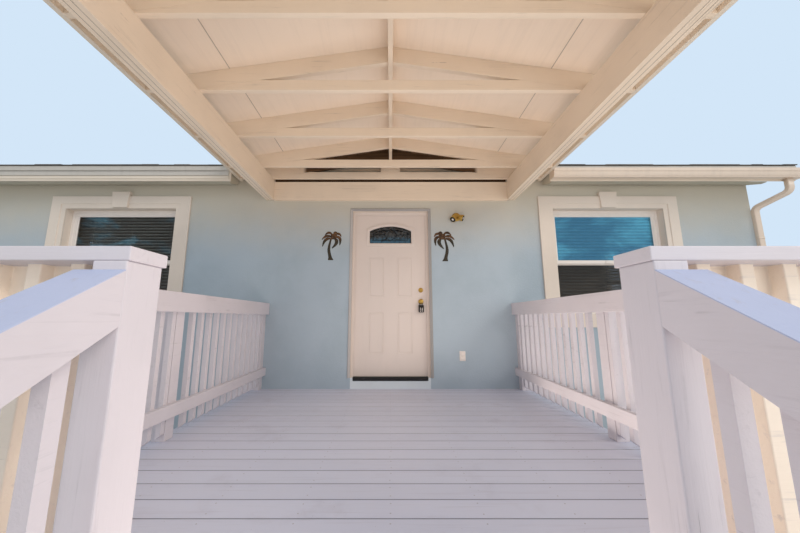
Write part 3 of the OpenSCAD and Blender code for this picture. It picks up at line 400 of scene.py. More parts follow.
def stucco(name, paint, stain, relief=0.004, inner=None, faded=None):
    """Sand-finished stucco: fine grains over broad trowel waves, with faint stains and a splashed foot.

    With an inner colour, only the house's outer skin has the paint, and the reveals and the rooms have that colour.
    The colour given for the eaves takes over towards them: painted light, a warm tint for the light thrown back from
    under the eaves.
    """
    f = Finish(name, Specular_IOR_Level=0.25)
    grains = f.noise(150.0, 4.0, 0.7)
    lumps = f.cells(46.0)
    waves = f.noise(6.0, 4.0, 0.55)
    stains = f.noise(1.3, 5.0, 0.6)
    f.colour = f.mix(stains.step(0.4, 0.7) * 0.65, paint, stain)
    # Painted light: the warm tint for the eaves' thrown-back light grows towards the roof.
    if faded is not None:
        below = roof_high.z - HOUSE_SLOPE * abs(f.y - RIDGE_Y) - f.z - 0.2 * waves
        f.coat(below.step(1.2, 0.15) * 0.85, faded)
    f.coat(grains.step(0.55, 0.75) * 0.3, shade(stain, 0.88))
    splash = f.z.step(0.35, 0.0) * (0.3 + 0.7 * waves)
    f.coat(splash * 0.45, shade(stain, 0.62))
    if inner is not None:
        across = f.x.step(base_low.x + 0.001, base_low.x + 0.002)
        across = across * f.x.step(base_high.x - 0.001, base_high.x - 0.002)
        deep = f.y.step(FACE_Y + 0.001, FACE_Y + 0.002) * f.y.step(BACK_Y - 0.001, BACK_Y - 0.002)
        f.coat(across * deep, f.mix(waves.step(0.4, 0.8) * 0.4, inner, shade(inner, 0.88)))
    height = grains * 0.5 + lumps * 0.35 + waves * 0.6
    return f.surface(0.86 + 0.1 * grains, height=height, distance=relief, strength=0.6)


def enamel(name, paint, rough=0.32, dirt=0.45):
    """Baked enamel on sheet metal: nearly even, with faint dust streaks that run down."""
    f = Finish(name, Specular_IOR_Level=0.5)
    dust = f.noise(14.0, 5.0, 0.6, (1, 1, 0.15))
    spots = f.noise(70.0, 3.0, 0.55)
    f.colour = f.mix(dust.step(0.45, 0.8) * dirt, paint, shade(paint, 0.82))
    f.coat(spots.step(0.7, 0.8) * 0.25, shade(paint, 0.6))
    return f.surface(rough + 0.2 * dust, height=dust, distance=0.0008, strength=0.4)


def vinyl(name, paint):
    """Smooth extruded vinyl with a faint chalky bloom."""
    f = Finish(name, Specular_IOR_Level=0.45)
    bloom = f.noise(8.0, 4.0, 0.6)
    f.colour = f.mix(bloom.step(0.4, 0.8) * 0.3, paint, shade(paint, 0.9))
    return f.surface(0.36 + 0.12 * bloom, height=f.noise(120.0, 2.0), distance=0.0004)


def leaded_glazing(name, tint, painted_sky_sheen):
    """Rippled dark glass between lead cames: brown and grey patches, with a painted reflection of blue sky along its
    foot.
    """
    f = Finish(name, Metallic=0.3, IOR=1.52, Specular_IOR_Level=0.7)
    patch = f.noise(22.0, 3.0, 0.6, (1, 1, 0.8), 0.8)
    ripple = f.noise(90.0, 3.0, 0.6)
    f.colour = f.mix(patch.step(0.4, 0.62), shade(tint, 0.6), shade(tint, 2.4))
    # Painted reflection: a blue band of sky along the foot of the glass.
    f.coat((f.z - LITE_Z).step(0.11, 0.02) * (0.15 + 0.6 * patch.step(0.3, 0.6)), painted_sky_sheen)
    alpha = 0.9 + 0.1 * patch
    return f.surface(0.1 + 0.2 * ripple, height=ripple, distance=0.001, strength=0.3, alpha=alpha)


def sash_glazing(name, sky_blue, screened):
    """Window glass: the upper sash has a painted reflection of the sky in soft clouds, the lower one is dark behind
    its screen, with a fainter painted reflection of the same clouds.

    The front left window has a dark painted reflection and lets more through, so its blind shows. The slats darken
    the others in lines.
    """
    pitch = bpy.context.scene.bungalow_sizes.slat_pitch
    f = Finish(name, IOR=1.52, Specular_IOR_Level=0.6)
    upper = f.z.step(MEETING_Z - 0.004, MEETING_Z + 0.004)
    cloud = f.noise(1.7, 5.0, 0.6, (1, 1, 1.8), 0.6)
    dust = f.noise(24.0, 4.0, 0.6)
    # Painted reflection: the front left window shows a dark reflection instead of the sky.
    dark_reflection = f.x.step(0.0, -0.5) * f.y.step(1.0, 0.5)
    sky = f.mix(cloud.step(0.42, 0.72), shade(sky_blue, 1.7), shade(sky_blue, 3.6))
    slat = abs((f.z - glass_low.z) / pitch % 1 - 0.5).step(0.2, 0.36)
    sky = f.mix(slat * (0.1 + 0.35 * dust), sky, shade(sky_blue, 0.6))
    dim = f.mix(cloud.step(0.4, 0.7), shade(screened, 0.75), shade(screened, 1.3))
    sky = f.mix(dark_reflection * (1 - 0.5 * cloud.step(0.5, 0.7)), sky, shade(screened, 0.5))
    f.colour = f.mix(upper, dim, sky)
    rough = 0.05 + 0.06 * dust + 0.12 * (1 - upper)
    metal = 0.1 + 0.5 * upper * (1 - 0.8 * dark_reflection)
    alpha = 0.42 + 0.12 * upper * (1 - dark_reflection) - 0.2 * dark_reflection + 0.08 * dust
    return f.surface(rough, metal, height=cloud, distance=0.01, strength=0.1, alpha=alpha)


def shingles(name, light, dark):
    """Mineral granules on asphalt: every tab has its own tone, with darker blends and lichen spots."""
    f = Finish(name, Specular_IOR_Level=0.2)
    tone = f.node("ShaderNodeAttribute", {"attribute_name": "tone"}, out="Fac")
    grit = f.noise(260.0, 3.0, 0.75)
    blend = f.noise(9.0, 4.0, 0.6)
    weather = f.noise(1.1, 4.0, 0.6)
    f.colour = f.mix(tone, light, dark)
    f.coat(blend.step(0.42, 0.72) * 0.5, shade(dark, 0.8))
    f.coat(grit.step(0.5, 0.7) * 0.5, shade(light, 1.35))
    f.coat(weather.step(0.5, 0.8) * 0.35, shade(dark, 0.6))
    return f.surface(0.92 + 0.06 * grit, height=grit, distance=0.0025, strength=0.8)


def roof_deck(name):
    """The CAD roof slope: shingle base on top, the walls' paint under the overhangs, bare sheathing inside.

    The edge that shows over the front wall, under the porch roof, has the porch's paint.
    """
    hues = bpy.context.scene.bungalow_colours
    f = Finish(name, Specular_IOR_Level=0.25)
    grain = f.noise(30.0, 5.0, 0.6, (1, 0.08, 1), 0.5)
    inside = f.x.step(base_low.x - 0.001, base_low.x) * f.x.step(base_high.x + 0.001, base_high.x)
    inside = inside * f.y.step(FACE_Y - 0.001, FACE_Y) * f.y.step(BACK_Y + 0.001, BACK_Y)
    slope = roof_high.z - HOUSE_COVER / 2 - abs(f.y - RIDGE_Y) * HOUSE_SLOPE
    top = (f.z - slope).step(-0.004, 0.0)
    wood = f.mix(grain.step(0.4, 0.7), shade(hues.boards, 1.1), shade(hues.boards, 0.65))
    eaves = f.mix(grain.step(0.5, 0.8) * 0.4, hues.stucco, shade(hues.stucco, 0.8))
    grit = f.noise(240.0, 3.0, 0.7)
    asphalt = f.mix(grit, shade(hues.shingle_dark, 0.8), hues.shingle)
    f.colour = f.mix(top, f.mix(inside, eaves, wood), asphalt)
    f.coat(f.y.near(FACE_Y, 0.002, 0.001), hues.warm)
    return f.surface(0.7 + 0.25 * top, height=grain + grit * top, distance=0.002, strength=0.5)


def porch_ceiling(name):
    """The porch roof: painted sheets with thin seams on its underside, bare near the wall, and granules on top."""
    hues = bpy.context.scene.bungalow_colours
    f = Finish(name, Specular_IOR_Level=0.25)
    under = porch_high.z - PORCH_COVER / 2 - abs(f.x) * PORCH_SLOPE
    top = (f.z - under).step(-0.002, 0.002)
    grain = f.noise(26.0, 6.0, 0.62, GRAIN["y"], 0.6)
    blotch = f.noise(2.2, 4.0, 0.6)
    seam = abs(f.x).near(1.29, 0.002, 0.003)
    paint = f.mix(grain.step(0.45, 0.75) * 0.35, hues.ceiling, shade(hues.ceiling, 0.86))
    paint = f.mix(blotch.step(0.5, 0.8) * 0.35, paint, shade(hues.warm, 0.86))
    paint = f.mix(seam * 0.75, paint, shade(hues.warm, 0.4))
    bare = f.y.near(FACE_Y - 0.225, 0.145, 0.012) * abs(f.x).step(1.14, 1.08)
    paint = f.mix(bare, paint, f.mix(grain.step(0.4, 0.7), hues.old_wood, shade(hues.old_wood, 0.4)))
    grit = f.noise(240.0, 3.0, 0.7)
    asphalt = f.mix(grit, shade(hues.shingle_dark, 0.8), hues.shingle)
    f.colour = f.mix(top, paint, asphalt)
    return f.surface(0.62 + 0.3 * top, height=grain - seam * 2.0, distance=0.002, strength=0.5)


def lumber(name, light, dark, axis):
    """Weathered treated lumber: open grain along its axis, dark knots and greyed edges."""
    f = Finish(name, Specular_IOR_Level=0.2)
    grain = f.noise(34.0, 7.0, 0.65, GRAIN[axis], 0.8)
    knots = f.cells(3.2, GRAIN[axis]).step(0.16, 0.08)
    weather = f.noise(3.0, 4.0, 0.6)
    f.colour = f.mix(grain.step(0.38, 0.68), light, dark)
    f.coat(weather.step(0.45, 0.75) * 0.5, linear("9b948b"))
    f.coat(knots * 0.7, shade(dark, 0.4))
    return f.surface(0.8, height=grain - knots * 0.4, distance=0.003, strength=0.7)


def floor_boards(name, wood):
    """Varnished boards 90 mm wide that run front to back, each with its own tone and grain."""
    f = Finish(name, Specular_IOR_Level=0.45)
    pitch = 0.09
    tone = f.scatter(f.x / pitch)
    grain = f.noise(30.0, 6.0, 0.6, GRAIN["y"], 0.8)
    gap = abs(f.x % pitch - pitch / 2).step(pitch / 2 - 0.002, pitch / 2)
    f.colour = f.mix(tone, shade(wood, 1.2), shade(wood, 0.75))
    f.coat(grain.step(0.4, 0.7) * 0.6, shade(wood, 0.5))
    f.coat(gap, shade(wood, 0.15))
    return f.surface(0.35 + 0.2 * grain, height=grain * 0.3 - gap, distance=0.002)


def metal(name, base, dark, rough=0.3):
    """Turned metal with a thin uneven patina in its colour and polish."""
    f = Finish(name)
    tarnish = f.noise(60.0, 5.0, 0.65)
    fine = f.noise(320.0, 3.0, 0.6)
    f.colour = f.mix(tarnish.step(0.45, 0.75) * 0.7, base, dark)
    height = tarnish + fine * 0.5
    return f.surface(rough + 0.25 * tarnish, 0.95 - 0.2 * tarnish, height, distance=0.0006, strength=0.4)


def patina(name, bronze, dark, trunk):
    """Sheet metal palms: a rusty bronze crown with brushed streaks and blotches, and a dark olive brown trunk."""
    f = Finish(name)
    blotch = f.noise(34.0, 5.0, 0.65)
    streak = f.noise(120.0, 4.0, 0.6, (1, 1, 0.2))
    crown = f.mix(blotch.step(0.4, 0.65), bronze, dark)
    crown = f.mix(streak.step(0.55, 0.75) * 0.4, crown, shade(bronze, 1.7))
    bark = f.mix(streak.step(0.4, 0.7), trunk, shade(trunk, 0.6))
    f.colour = f.mix((f.z - PALM_FOOT).step(0.24, 0.29), bark, crown)
    return f.surface(0.45 + 0.3 * blotch, 0.5, blotch + streak * 0.5, distance=0.0015, strength=0.6)


def moulded(name, base, rough=0.5):
    """Moulded rubber or plastic with a faint leathery grain."""
    f = Finish(name, Specular_IOR_Level=0.4)
    grain = f.cells(420.0)
    dust = f.noise(30.0, 4.0, 0.6)
    f.colour = f.mix(dust.step(0.5, 0.8) * 0.5, base, tuple(channel + 0.05 for channel in base))
    return f.surface(rough + 0.15 * dust, height=grain, distance=0.0005, strength=0.4)


def blind_slats(name, paint):
    """Painted blind slats, with a thin line of dust at random."""
    f = Finish(name, Specular_IOR_Level=0.4)
    dust = f.noise(18.0, 4.0, 0.6, (0.3, 0.3, 4))
    f.colour = f.mix(dust.step(0.45, 0.75) * 0.5, paint, shade(paint, 0.75))
    return f.surface(0.4 + 0.2 * dust, height=dust, distance=0.0006, strength=0.3)


def stage_floor(name, paint):
    """Plain pale seamless floor with the faintest cloudiness."""
    f = Finish(name, Specular_IOR_Level=0.2)
    cloud = f.noise(0.4, 3.0, 0.5)
    f.colour = f.mix(cloud, paint, shade(paint, 0.96))
    return f.surface(0.85 + 0.05 * cloud)


# Each finish has its maker, and the maker's colours and settings. A colour is given by its name, or as (name,
# factor) for a lighter or darker tone of it, and a coat as (function for its mask, colour).
FINISHES = {
    "wall_stucco": (stucco, "stucco", "stucco_shade", 0.004, "band", "faded"),
    # Painted light and shade: a darker stucco for the top and right side of the door's return, a lighter one for its
    # left side.
    "return_stucco": (stucco, "stucco_dull", ("stucco_dull", 0.9), 0.002),
    "lit_return_stucco": (stucco, ("stucco_dull", 1.3), ("stucco_dull", 1.15), 0.002),
    "band_stucco": (stucco, "band", ("band", 0.9), 0.003),
    "sill_paint": (stucco, "sill", ("sill", 0.9), 0.002),
    "white_y": (painted, "white", "y"),
    "white_z": (painted, "white", "z"),
    # The stair's rails get a second coat of painted sky light on their tops.
    "stair_rail_paint": (painted, "white", "y", 0.5, 0.5, (rail_tops, "rail_top")),
    # The front railings' balusters get a second coat of painted sunlight.
    "baluster_paint": (painted, "white", "x", 0.5, 0.5, (under_cap, "baluster")),
    "warm_x": (painted, "warm", "x", 0.6),
    "warm_y": (painted, "warm", "y", 0.6),
    "porch_beam": (painted, "warm", "y", 0.6, 0.5, None, beam_plies),
    "porch_rafter": (painted, "warm", "x", 0.6, 0.5, None, None, (beside_wall, "old_wood")),
    "trim_x": (painted, "trim", "x", 0.35),
    "trim_y": (painted, "trim", "y", 0.35),
    "jamb_paint": (painted, "door", "z", 0.25),
    "soffit_boards": (painted, "soffit", "x", 0.6, 0.6),
    # Bare wood made darker still: painted shade in the gap over the porch's ledger.
    "bare_board": (painted, ("old_wood", 0.6), "x", 0.8, 0.7),
    "deck": (deck_paint, "deck", "deck_worn"),
    "stair": (deck_paint, "deck", "deck_worn", TREAD_RUN, 0.0),
    "drip_metal": (enamel, "drip"),
    "gutter_enamel": (enamel, "metal"),
    "door_enamel": (enamel, "door", 0.38, 0.15),
    "window_vinyl": (vinyl, "vinyl"),
    "sash_glass": (sash_glazing, "glass", "screened"),
    "leaded_glass": (leaded_glazing, "door_glass", "glass"),
    "shingles": (shingles, "shingle", "shingle_dark"),
    "roof_deck": (roof_deck,),
    "porch_ceiling": (porch_ceiling,),
    "lumber_x": (lumber, "lumber", "lumber_dark", "x"),
    "lumber_z": (lumber, "lumber", "lumber_dark", "z"),
    "varnished_boards": (floor_boards, "boards"),
    "polished_brass": (metal, "brass", ("brass", 0.45)),
    "lead": (metal, "came", ("came", 0.5), 0.45),
    "bronze": (patina, "bronze", "bronze_dark", "trunk"),
    "rubber": (moulded, "rubber"),
    "white_plastic": (moulded, "vinyl", 0.4),
    "screw_heads": (moulded, "screw"),
    "blind_slats": (blind_slats, "slat"),
    "stage_floor": (stage_floor, "stage"),
}
MADE = {}


def toned(given):
    """A setting of a finish with the names of colours in it replaced by the colours."""
    hues = bpy.context.scene.bungalow_colours
    if isinstance(given, str):
        return getattr(hues, given, given)
    if isinstance(given, tuple):
        first, second = given
        return shade(getattr(hues, first), second) if isinstance(first, str) else (first, toned(second))
    return given


def finish(name):
    """The material of that name, made the first time it is asked for."""
    if name not in MADE:
        maker, *given = FINISHES[name]
        MADE[name] = maker(name, *map(toned, given))
    return MADE[name]


def quads(rows, columns, around=False, closed=False):
    """Faces of a grid of points, row by row. around joins the last column to the first, closed the last row too."""
    r = np.arange(rows if closed else rows - 1)[:, None]
    c = np.arange(columns if around else columns - 1)[None, :]
    r2, c2 = (r + 1) % rows, (c + 1) % columns
    corners = [r * columns + c, r * columns + c2, r2 * columns + c2, r2 * columns + c]
    return np.stack([k + 0 * (r + c) for k in corners], -1).reshape(-1, 4)


def outward(points, faces):
    """The faces, all turned over if the closed mesh's signed volume (sum of a . b x c / 6) is negative."""
    fans = np.array([(f[0], f[i], f[i + 1]) for f in faces for i in range(1, len(f) - 1)])
    a, b, c = (points[fans[:, k]] for k in range(3))
    if np.einsum("ij,ij->", a, np.cross(b, c)) < 0:
        return [f[::-1] for f in faces]
    return faces


def piece(name, solids, material, body=HOUSE, smooth=True, tone=None):
    """One object from (points, faces) solids, with its place in its mesh, riding on a body."""
    points, faces, start = [], [], 0
    for p, f in solids:
        p = np.asarray(p, float).reshape(-1, 3)
        f = [tuple(face) for face in (f.tolist() if isinstance(f, np.ndarray) else f)]
        points.append(p)
        faces += [tuple(i + start for i in face) for face in outward(p, f)]
        start += len(p)
    mesh = bpy.data.meshes.new(name)
    mesh.from_pydata(np.concatenate(points), [], faces)
    mesh.polygons.foreach_set("use_smooth", np.full(len(faces), smooth))
    if tone is not None:
        mesh.attributes.new("tone", "FLOAT", "POINT").data.foreach_set("value", tone)
    mesh.materials.append(finish(material))
    mesh.update()
    made = bpy.data.objects.new(name, mesh)
    bpy.context.scene.collection.objects.link(made)
    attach(made, body)
    return made


def loft(rings, closed=False):
    """Cross-sections joined to a tube: rings is (sections, points, 3). Open tubes get flat ends."""
    rings = np.asarray(rings, float)
    rows, columns = rings.shape[:2]
    faces = quads(rows, columns, around=True, closed=closed).tolist()
    if not closed:
        faces += [list(range(columns))[::-1], list(range((rows - 1) * columns, rows * columns))]
    return rings.reshape(-1, 3), faces


def extrude(section, x1, x2):
    """A straight prism from x1 to x2 with a section of (y, z) points."""
    return loft([np.column_stack([np.full(len(section), x), section]) for x in (x1, x2)])


def rounded_block(low, high, radius, count=5, axis=1):
    """A block with four rounded edges along one axis, and soft ends: an inset ring before each end."""
    low, high = np.asarray(low, float), np.asarray(high, float)
    others = [k for k in range(3) if k != axis]
    size, centre = (high - low)[others] / 2, (high + low)[others] / 2
    angle = np.linspace(0, np.pi / 2, count)
    corner = np.concatenate([angle + k * np.pi / 2 for k in range(4)])
    sign = np.repeat([[1, 1], [-1, 1], [-1, -1], [1, -1]], count, 0)
    soft = 0.35 * radius
    rings = []
    for at, inset in ((low[axis], soft), (low[axis] + soft, 0), (high[axis] - soft, 0), (high[axis], soft)):
        r = radius - inset
        flat = centre + sign * (size - radius) + r * np.column_stack([np.cos(corner), np.sin(corner)])
        ring = np.empty((len(corner), 3))
        ring[:, others] = flat
        ring[:, axis] = at
        rings.append(ring)
    return loft(np.stack(rings))


def slab(x, half, y, z, radius, axis=1):
    """A rounded block that reaches half to both sides of x, between its (low, high) limits y and z."""
    return rounded_block((x - half, y[0], z[0]), (x + half, y[1], z[1]), radius, axis=axis)


def mirrored(solid, y):
    """A solid mirrored in the upright plane at a depth y."""
    points, faces = solid
    return points * [1, -1, 1] + [0, 2 * y, 0], faces


def lathe(profile, centre, axis, count=40):
    """A turned solid: a profile of (radius, height) carried round an axis (0 x, 1 y, 2 z) through centre."""
    profile = np.asarray(profile, float)
    angle = np.linspace(0, 2 * np.pi, count, endpoint=False)
    radius, height = profile[:, None, 0], profile[:, None, 1]
    others = [k for k in range(3) if k != axis]
    rings = np.empty((len(profile), count, 3))
    rings[..., others[0]] = centre[others[0]] + radius * np.cos(angle)
    rings[..., others[1]] = centre[others[1]] + radius * np.sin(angle)
    rings[..., axis] = centre[axis] + height + 0 * angle
    return loft(rings)


def rounded_path(corners, radius, count=9):
    """A path through corners, each one rounded by a parabola that starts radius before it and ends radius after."""
    corners = np.asarray(corners, float)
    t = np.linspace(0, 1, count)[:, None]
    parts = [corners[:1]]
    for a, b, c in zip(corners[:-2], corners[1:-1], corners[2:]):
        start = b + (a - b) * min(0.5, radius / np.linalg.norm(a - b))
        end = b + (c - b) * min(0.5, radius / np.linalg.norm(c - b))
        parts.append((1 - t) ** 2 * start + 2 * t * (1 - t) * b + t**2 * end)
    parts.append(corners[-1:])
    return np.concatenate(parts)


def sweep(path, profile, across):
    """A profile of (side, up) offsets carried along a path. The side direction is the path's direction x across."""
    path, profile = np.asarray(path, float), np.asarray(profile, float)
    along = np.gradient(path, axis=0)
    along /= np.linalg.norm(along, axis=1, keepdims=True)
    side = np.cross(along, np.asarray(across, float))
    side /= np.linalg.norm(side, axis=1, keepdims=True)
    up = np.cross(side, along)
    return loft(path[:, None] + profile[None, :, :1] * side[:, None] + profile[None, :, 1:] * up[:, None])


def circle(radius, count=12):
    """Points round a circle."""
    angle = np.linspace(0, 2 * np.pi, count, endpoint=False)
    return radius * np.column_stack([np.cos(angle), np.sin(angle)])


def frame_ring(centre_x, centre_z, half_w, half_h, y, profile):
    """A mitred moulding round a rectangle on a face that looks to -Y: profile is (inset, height above the face)."""
    sign = np.array([[-1, -1], [1, -1], [1, 1], [-1, 1]], float)
    inset, height = np.asarray(profile, float).T
    rings = np.empty((4, len(inset), 3))
    rings[..., 0] = centre_x + sign[:, :1] * (half_w - inset)
    rings[..., 1] = y - height
    rings[..., 2] = centre_z + sign[:, 1:] * (half_h - inset)
    return loft(rings, closed=True)


def house_top(y):
    """Top of the house roof's covering at a depth y: it rises with the slope to the ridge and falls behind it."""
    return roof_high.z - np.abs(y - RIDGE_Y) * HOUSE_SLOPE


def roof_patch(along, rise, exposure, place, rng, limit=None):
    """Wedge-shaped shingle tabs on a slope.

    along is (start, end) across the slope and rise (start, end) up it. Row r starts at rise = start + r *
    exposure. The tabs' edges are running sums of random widths, scaled to fit. A tab's section is a wedge:
    thick at its lower edge, thin where it slips under the next row. place turns (along, rise, height) into points.
    """
    sizes = bpy.context.scene.bungalow_sizes
    rows = int(round((rise[1] - rise[0]) / exposure))
    tabs = max(2, int(round((along[1] - along[0]) / sizes.tab)))
    widths = rng.uniform(0.55, 1.45, (rows, tabs))
    edges = np.concatenate([np.zeros((rows, 1)), np.cumsum(widths, 1)], 1)
    edges = along[0] + (along[1] - along[0]) * edges / edges[:, -1:]
    thick = sizes.shingle * np.where(rng.random((rows, tabs)) < 0.45, 1.75, 1.0)
    thick = thick * rng.uniform(0.9, 1.1, (rows, tabs))
    start = (rise[0] + exposure * np.arange(rows))[:, None] - rng.uniform(0, 0.004, (rows, tabs))
    end = np.minimum(start + exposure + 0.03, rise[1] + 0.004)
    a = np.stack([edges[:, :-1], edges[:, 1:]], -1)[..., None] + np.zeros(4)
    s = np.stack([start, start, end, end], -1)[..., None, :] + np.zeros((2, 1))
    under = np.full_like(thick, -0.002)
    h = np.stack([under, thick, np.full_like(thick, 0.0016), under], -1)[..., None, :] + np.zeros((2, 1))
    points = place(a, s, h)
    if limit is not None:
        points = limit(points)
    points = points.reshape(-1, 3)
    ring = [[0, 1, 2, 3], [4, 7, 6, 5], [0, 4, 5, 1], [1, 5, 6, 2], [2, 6, 7, 3], [3, 7, 4, 0]]
    faces = (8 * np.arange(rows * tabs)[:, None, None] + ring).reshape(-1, 4)
    tone = np.repeat(np.clip(rng.normal(0.42, 0.28, rows * tabs), 0, 1), 8)
    return points, faces, tone


def ridge_caps(start, end, exposure, place, rng, limit=None):
    """Folded cap shingles along a ridge: a bent strip that is thick at its near end and thin at its far end."""
    count = int(math.ceil((end - start) / exposure))
    across = np.array([-0.15, -0.075, 0, 0.075, 0.15])
    near = np.array([0.013, 0.014, 0.015, 0.014, 0.013])
    far = near - 0.006
    section = np.concatenate([across, across[::-1]])
    begin = (start + exposure * np.arange(count))[:, None, None]
    a = np.concatenate([begin, np.minimum(begin + exposure + 0.05, end)], 1) + 0 * section
    h_near = np.concatenate([near, near[::-1] - 0.008])
    h_far = np.concatenate([far, far[::-1] - 0.004])
    h = np.stack([h_near, h_far])[None] + np.zeros((count, 1, 1))
    points = place(a, section + 0 * a, h)
    if limit is not None:
        points = limit(points)
    solids = [loft(cap) for cap in points]
    tone = np.repeat(np.clip(rng.normal(0.5, 0.25, count), 0, 1), 2 * len(section))
    return solids, tone


class BUNGALOW_OT_stage(Operator):
    """Make the camera at the photograph's view, the pale floor and the soft studio light"""

    bl_idname = "bungalow.stage"
    bl_label = "Stage"

    def execute(self, context):
        scene = context.scene
        hues = scene.bungalow_colours
        # The photograph's camera, from its vanishing points and the door's size.
        camera = bpy.data.objects.new("camera", bpy.data.cameras.new("camera"))
        scene.collection.objects.link(camera)
        camera.data.sensor_width = 36.0
        camera.data.lens = 14.36
        camera.data.shift_x = 0.0119
        camera.data.clip_start = 0.02
        camera.data.clip_end = 200.0
        camera.location = (0.0, -4.077, 1.537)
        camera.rotation_euler = (math.radians(90 + 9.26), 0.0, 0.0)
        scene.camera = camera

        floor = bpy.data.meshes.new("stage_floor")
        side = np.linspace(-60, 60, 13)
        x, y = np.meshgrid(side, side)
        points = np.stack([x, y, np.full_like(x, -0.002)], -1).reshape(-1, 3)
        floor.from_pydata(points, [], quads(13, 13).tolist())
        floor.materials.append(finish("stage_floor"))
        ground = bpy.data.objects.new("stage_floor", floor)
        scene.collection.objects.link(ground)

        world = bpy.data.worlds.new("soft_sky")
        world.use_nodes = True
        tree = world.node_tree
        light = tree.nodes["Background"]
        light.inputs["Color"].default_value = (0.87, 0.935, 1.0, 1.0)
        light.inputs["Strength"].default_value = 0.64
        backdrop = tree.nodes.new("ShaderNodeBackground")
        backdrop.inputs["Color"].default_value = (*hues.sky, 1.0)
        seen = tree.nodes.new("ShaderNodeLightPath")
        both = tree.nodes.new("ShaderNodeMixShader")
        tree.links.new(seen.outputs["Is Camera Ray"], both.inputs[0])
        tree.links.new(light.outputs[0], both.inputs[1])
        tree.links.new(backdrop.outputs[0], both.inputs[2])
        tree.links.new(both.outputs[0], tree.nodes["World Output"].inputs["Surface"])
        scene.world = world
        scene.view_settings.view_transform = "Standard"

        def lamp(name, kind, energy, tint, angles, place=(0, 0, 10), **settings):
            data = bpy.data.lights.new(name, kind)
            data.energy = energy
            data.color = tint
            for key, value in settings.items():
                setattr(data, key, value)
            made = bpy.data.objects.new(name, data)
            made.location = place
            made.rotation_euler = [math.radians(a) for a in angles]
            scene.collection.objects.link(made)
            return made

        # A soft sun, and large lamps for the light that the paving, the sky, the deck and the roof throw back.
        lamp("key_sun", "SUN", 0.8, (1.0, 0.93, 0.84), (58, 0, 55), angle=math.radians(25))
        lamps = [
            ("low_bounce", 72, (1.0, 0.93, 0.86), (100, 0, 30), (3.4, -7.0, 1.6), (4, 2)),
            ("sky_panel", 90, (0.7, 0.85, 1.0), (-15, 0, 0), (0.0, -6.0, 6.0), (7, 3)),
            ("deck_bounce", 27, (1.0, 0.88, 0.77), (180, 0, 0), (0.35, -2.0, 0.76), (2.2, 2.6)),
            ("roof_bounce", 6, (1.0, 0.95, 0.92), (0, 0, 0), (0, -2.3, 3.0), (2.6, 1.8)),
        ]
        for name, energy, tint, angles, place, (size, size_y) in lamps:
            made = lamp(name, "AREA", energy, tint, angles, place, shape="RECTANGLE", size=size, size_y=size_y)
            made.visible_camera = made.visible_glossy = made.visible_transmission = False
        return {"FINISHED"}


DOOR_EDGE, THIN_EDGE, LUMBER_EDGE, BROAD_EDGE = 0.0015, 0.002, 0.003, 0.004
# The finish and the width of the eased edges, each with the model's nodes that have them.
NODE_FINISHES = {
    ("wall_stucco", 0): "foundation front_wall_left front_wall_right front_wall_over_door left_wall right_wall"
    " back_wall",
    ("varnished_boards", 0): "floor",
    ("roof_deck", 0): "house_roof_front house_roof_back",
    ("trim_x", THIN_EDGE): "fascia_boards",
    ("trim_y", THIN_EDGE): "rake_boards porch_fascia",
    ("gutter_enamel", 0): "gutters downspouts",
    ("band_stucco", BROAD_EDGE): "front_window_surrounds other_window_surrounds",
    ("window_vinyl", THIN_EDGE): "front_window_frames other_window_frames",
    ("sash_glass", 0): "front_window_glass other_window_glass",
    ("jamb_paint", THIN_EDGE): "door_frame",
    ("sill_paint", LUMBER_EDGE): "door_sill",
    ("polished_brass", 0): "door_hinges door_hardware wall_light",
    ("door_enamel", DOOR_EDGE): "front_door",
    ("leaded_glass", 0): "door_glass",
    ("deck", LUMBER_EDGE): "deck_boards",
    ("lumber_x", THIN_EDGE): "deck_frame deck_girders",
    ("lumber_z", LUMBER_EDGE): "deck_posts",
    ("stair", BROAD_EDGE): "stair_treads",
    ("stair", THIN_EDGE): "stair_risers",
    ("white_y", LUMBER_EDGE): "stair_stringers side_railings",
    ("baluster_paint", LUMBER_EDGE): "front_railings",
    ("white_z", BROAD_EDGE): "newel_posts porch_posts",
    ("stair_rail_paint", BROAD_EDGE): "stair_railings",
    ("porch_beam", LUMBER_EDGE): "porch_beams",
    ("warm_x", LUMBER_EDGE): "porch_ledger porch_ties",
    ("warm_x", THIN_EDGE): "porch_king_block",
    ("warm_y", THIN_EDGE): "porch_ridge_board",
    ("porch_rafter", THIN_EDGE): "porch_rafters",
    ("porch_ceiling", 0): "porch_roof_panels",
    ("bronze", 0): "palm_ornaments",
}


class BUNGALOW_OT_finishes(Operator):
    """Give every piece of the model its finish, and ease the edges of its boards"""

    bl_idname = "bungalow.finishes"
    bl_label = "Finishes of the model"

    def execute(self, context):
        given = {name: key for key, names in NODE_FINISHES.items() for name in names.split()}
        for name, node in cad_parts.items():
            material, bevel = given[name]
            for slot in node.material_slots:
                slot.material = finish(material)
            if bevel:
                weld = node.modifiers.new("weld", "WELD")
                weld.merge_threshold = 0.00002
                flat = node.modifiers.new("flat", "DECIMATE")
                flat.decimate_type = "DISSOLVE"
                flat.angle_limit = math.radians(0.5)
                soft = node.modifiers.new("eased_edges", "BEVEL")
                soft.width = bevel
                soft.segments = 2
                soft.limit_method = "ANGLE"
                soft.angle_limit = math.radians(25)
        return {"FINISHED"}


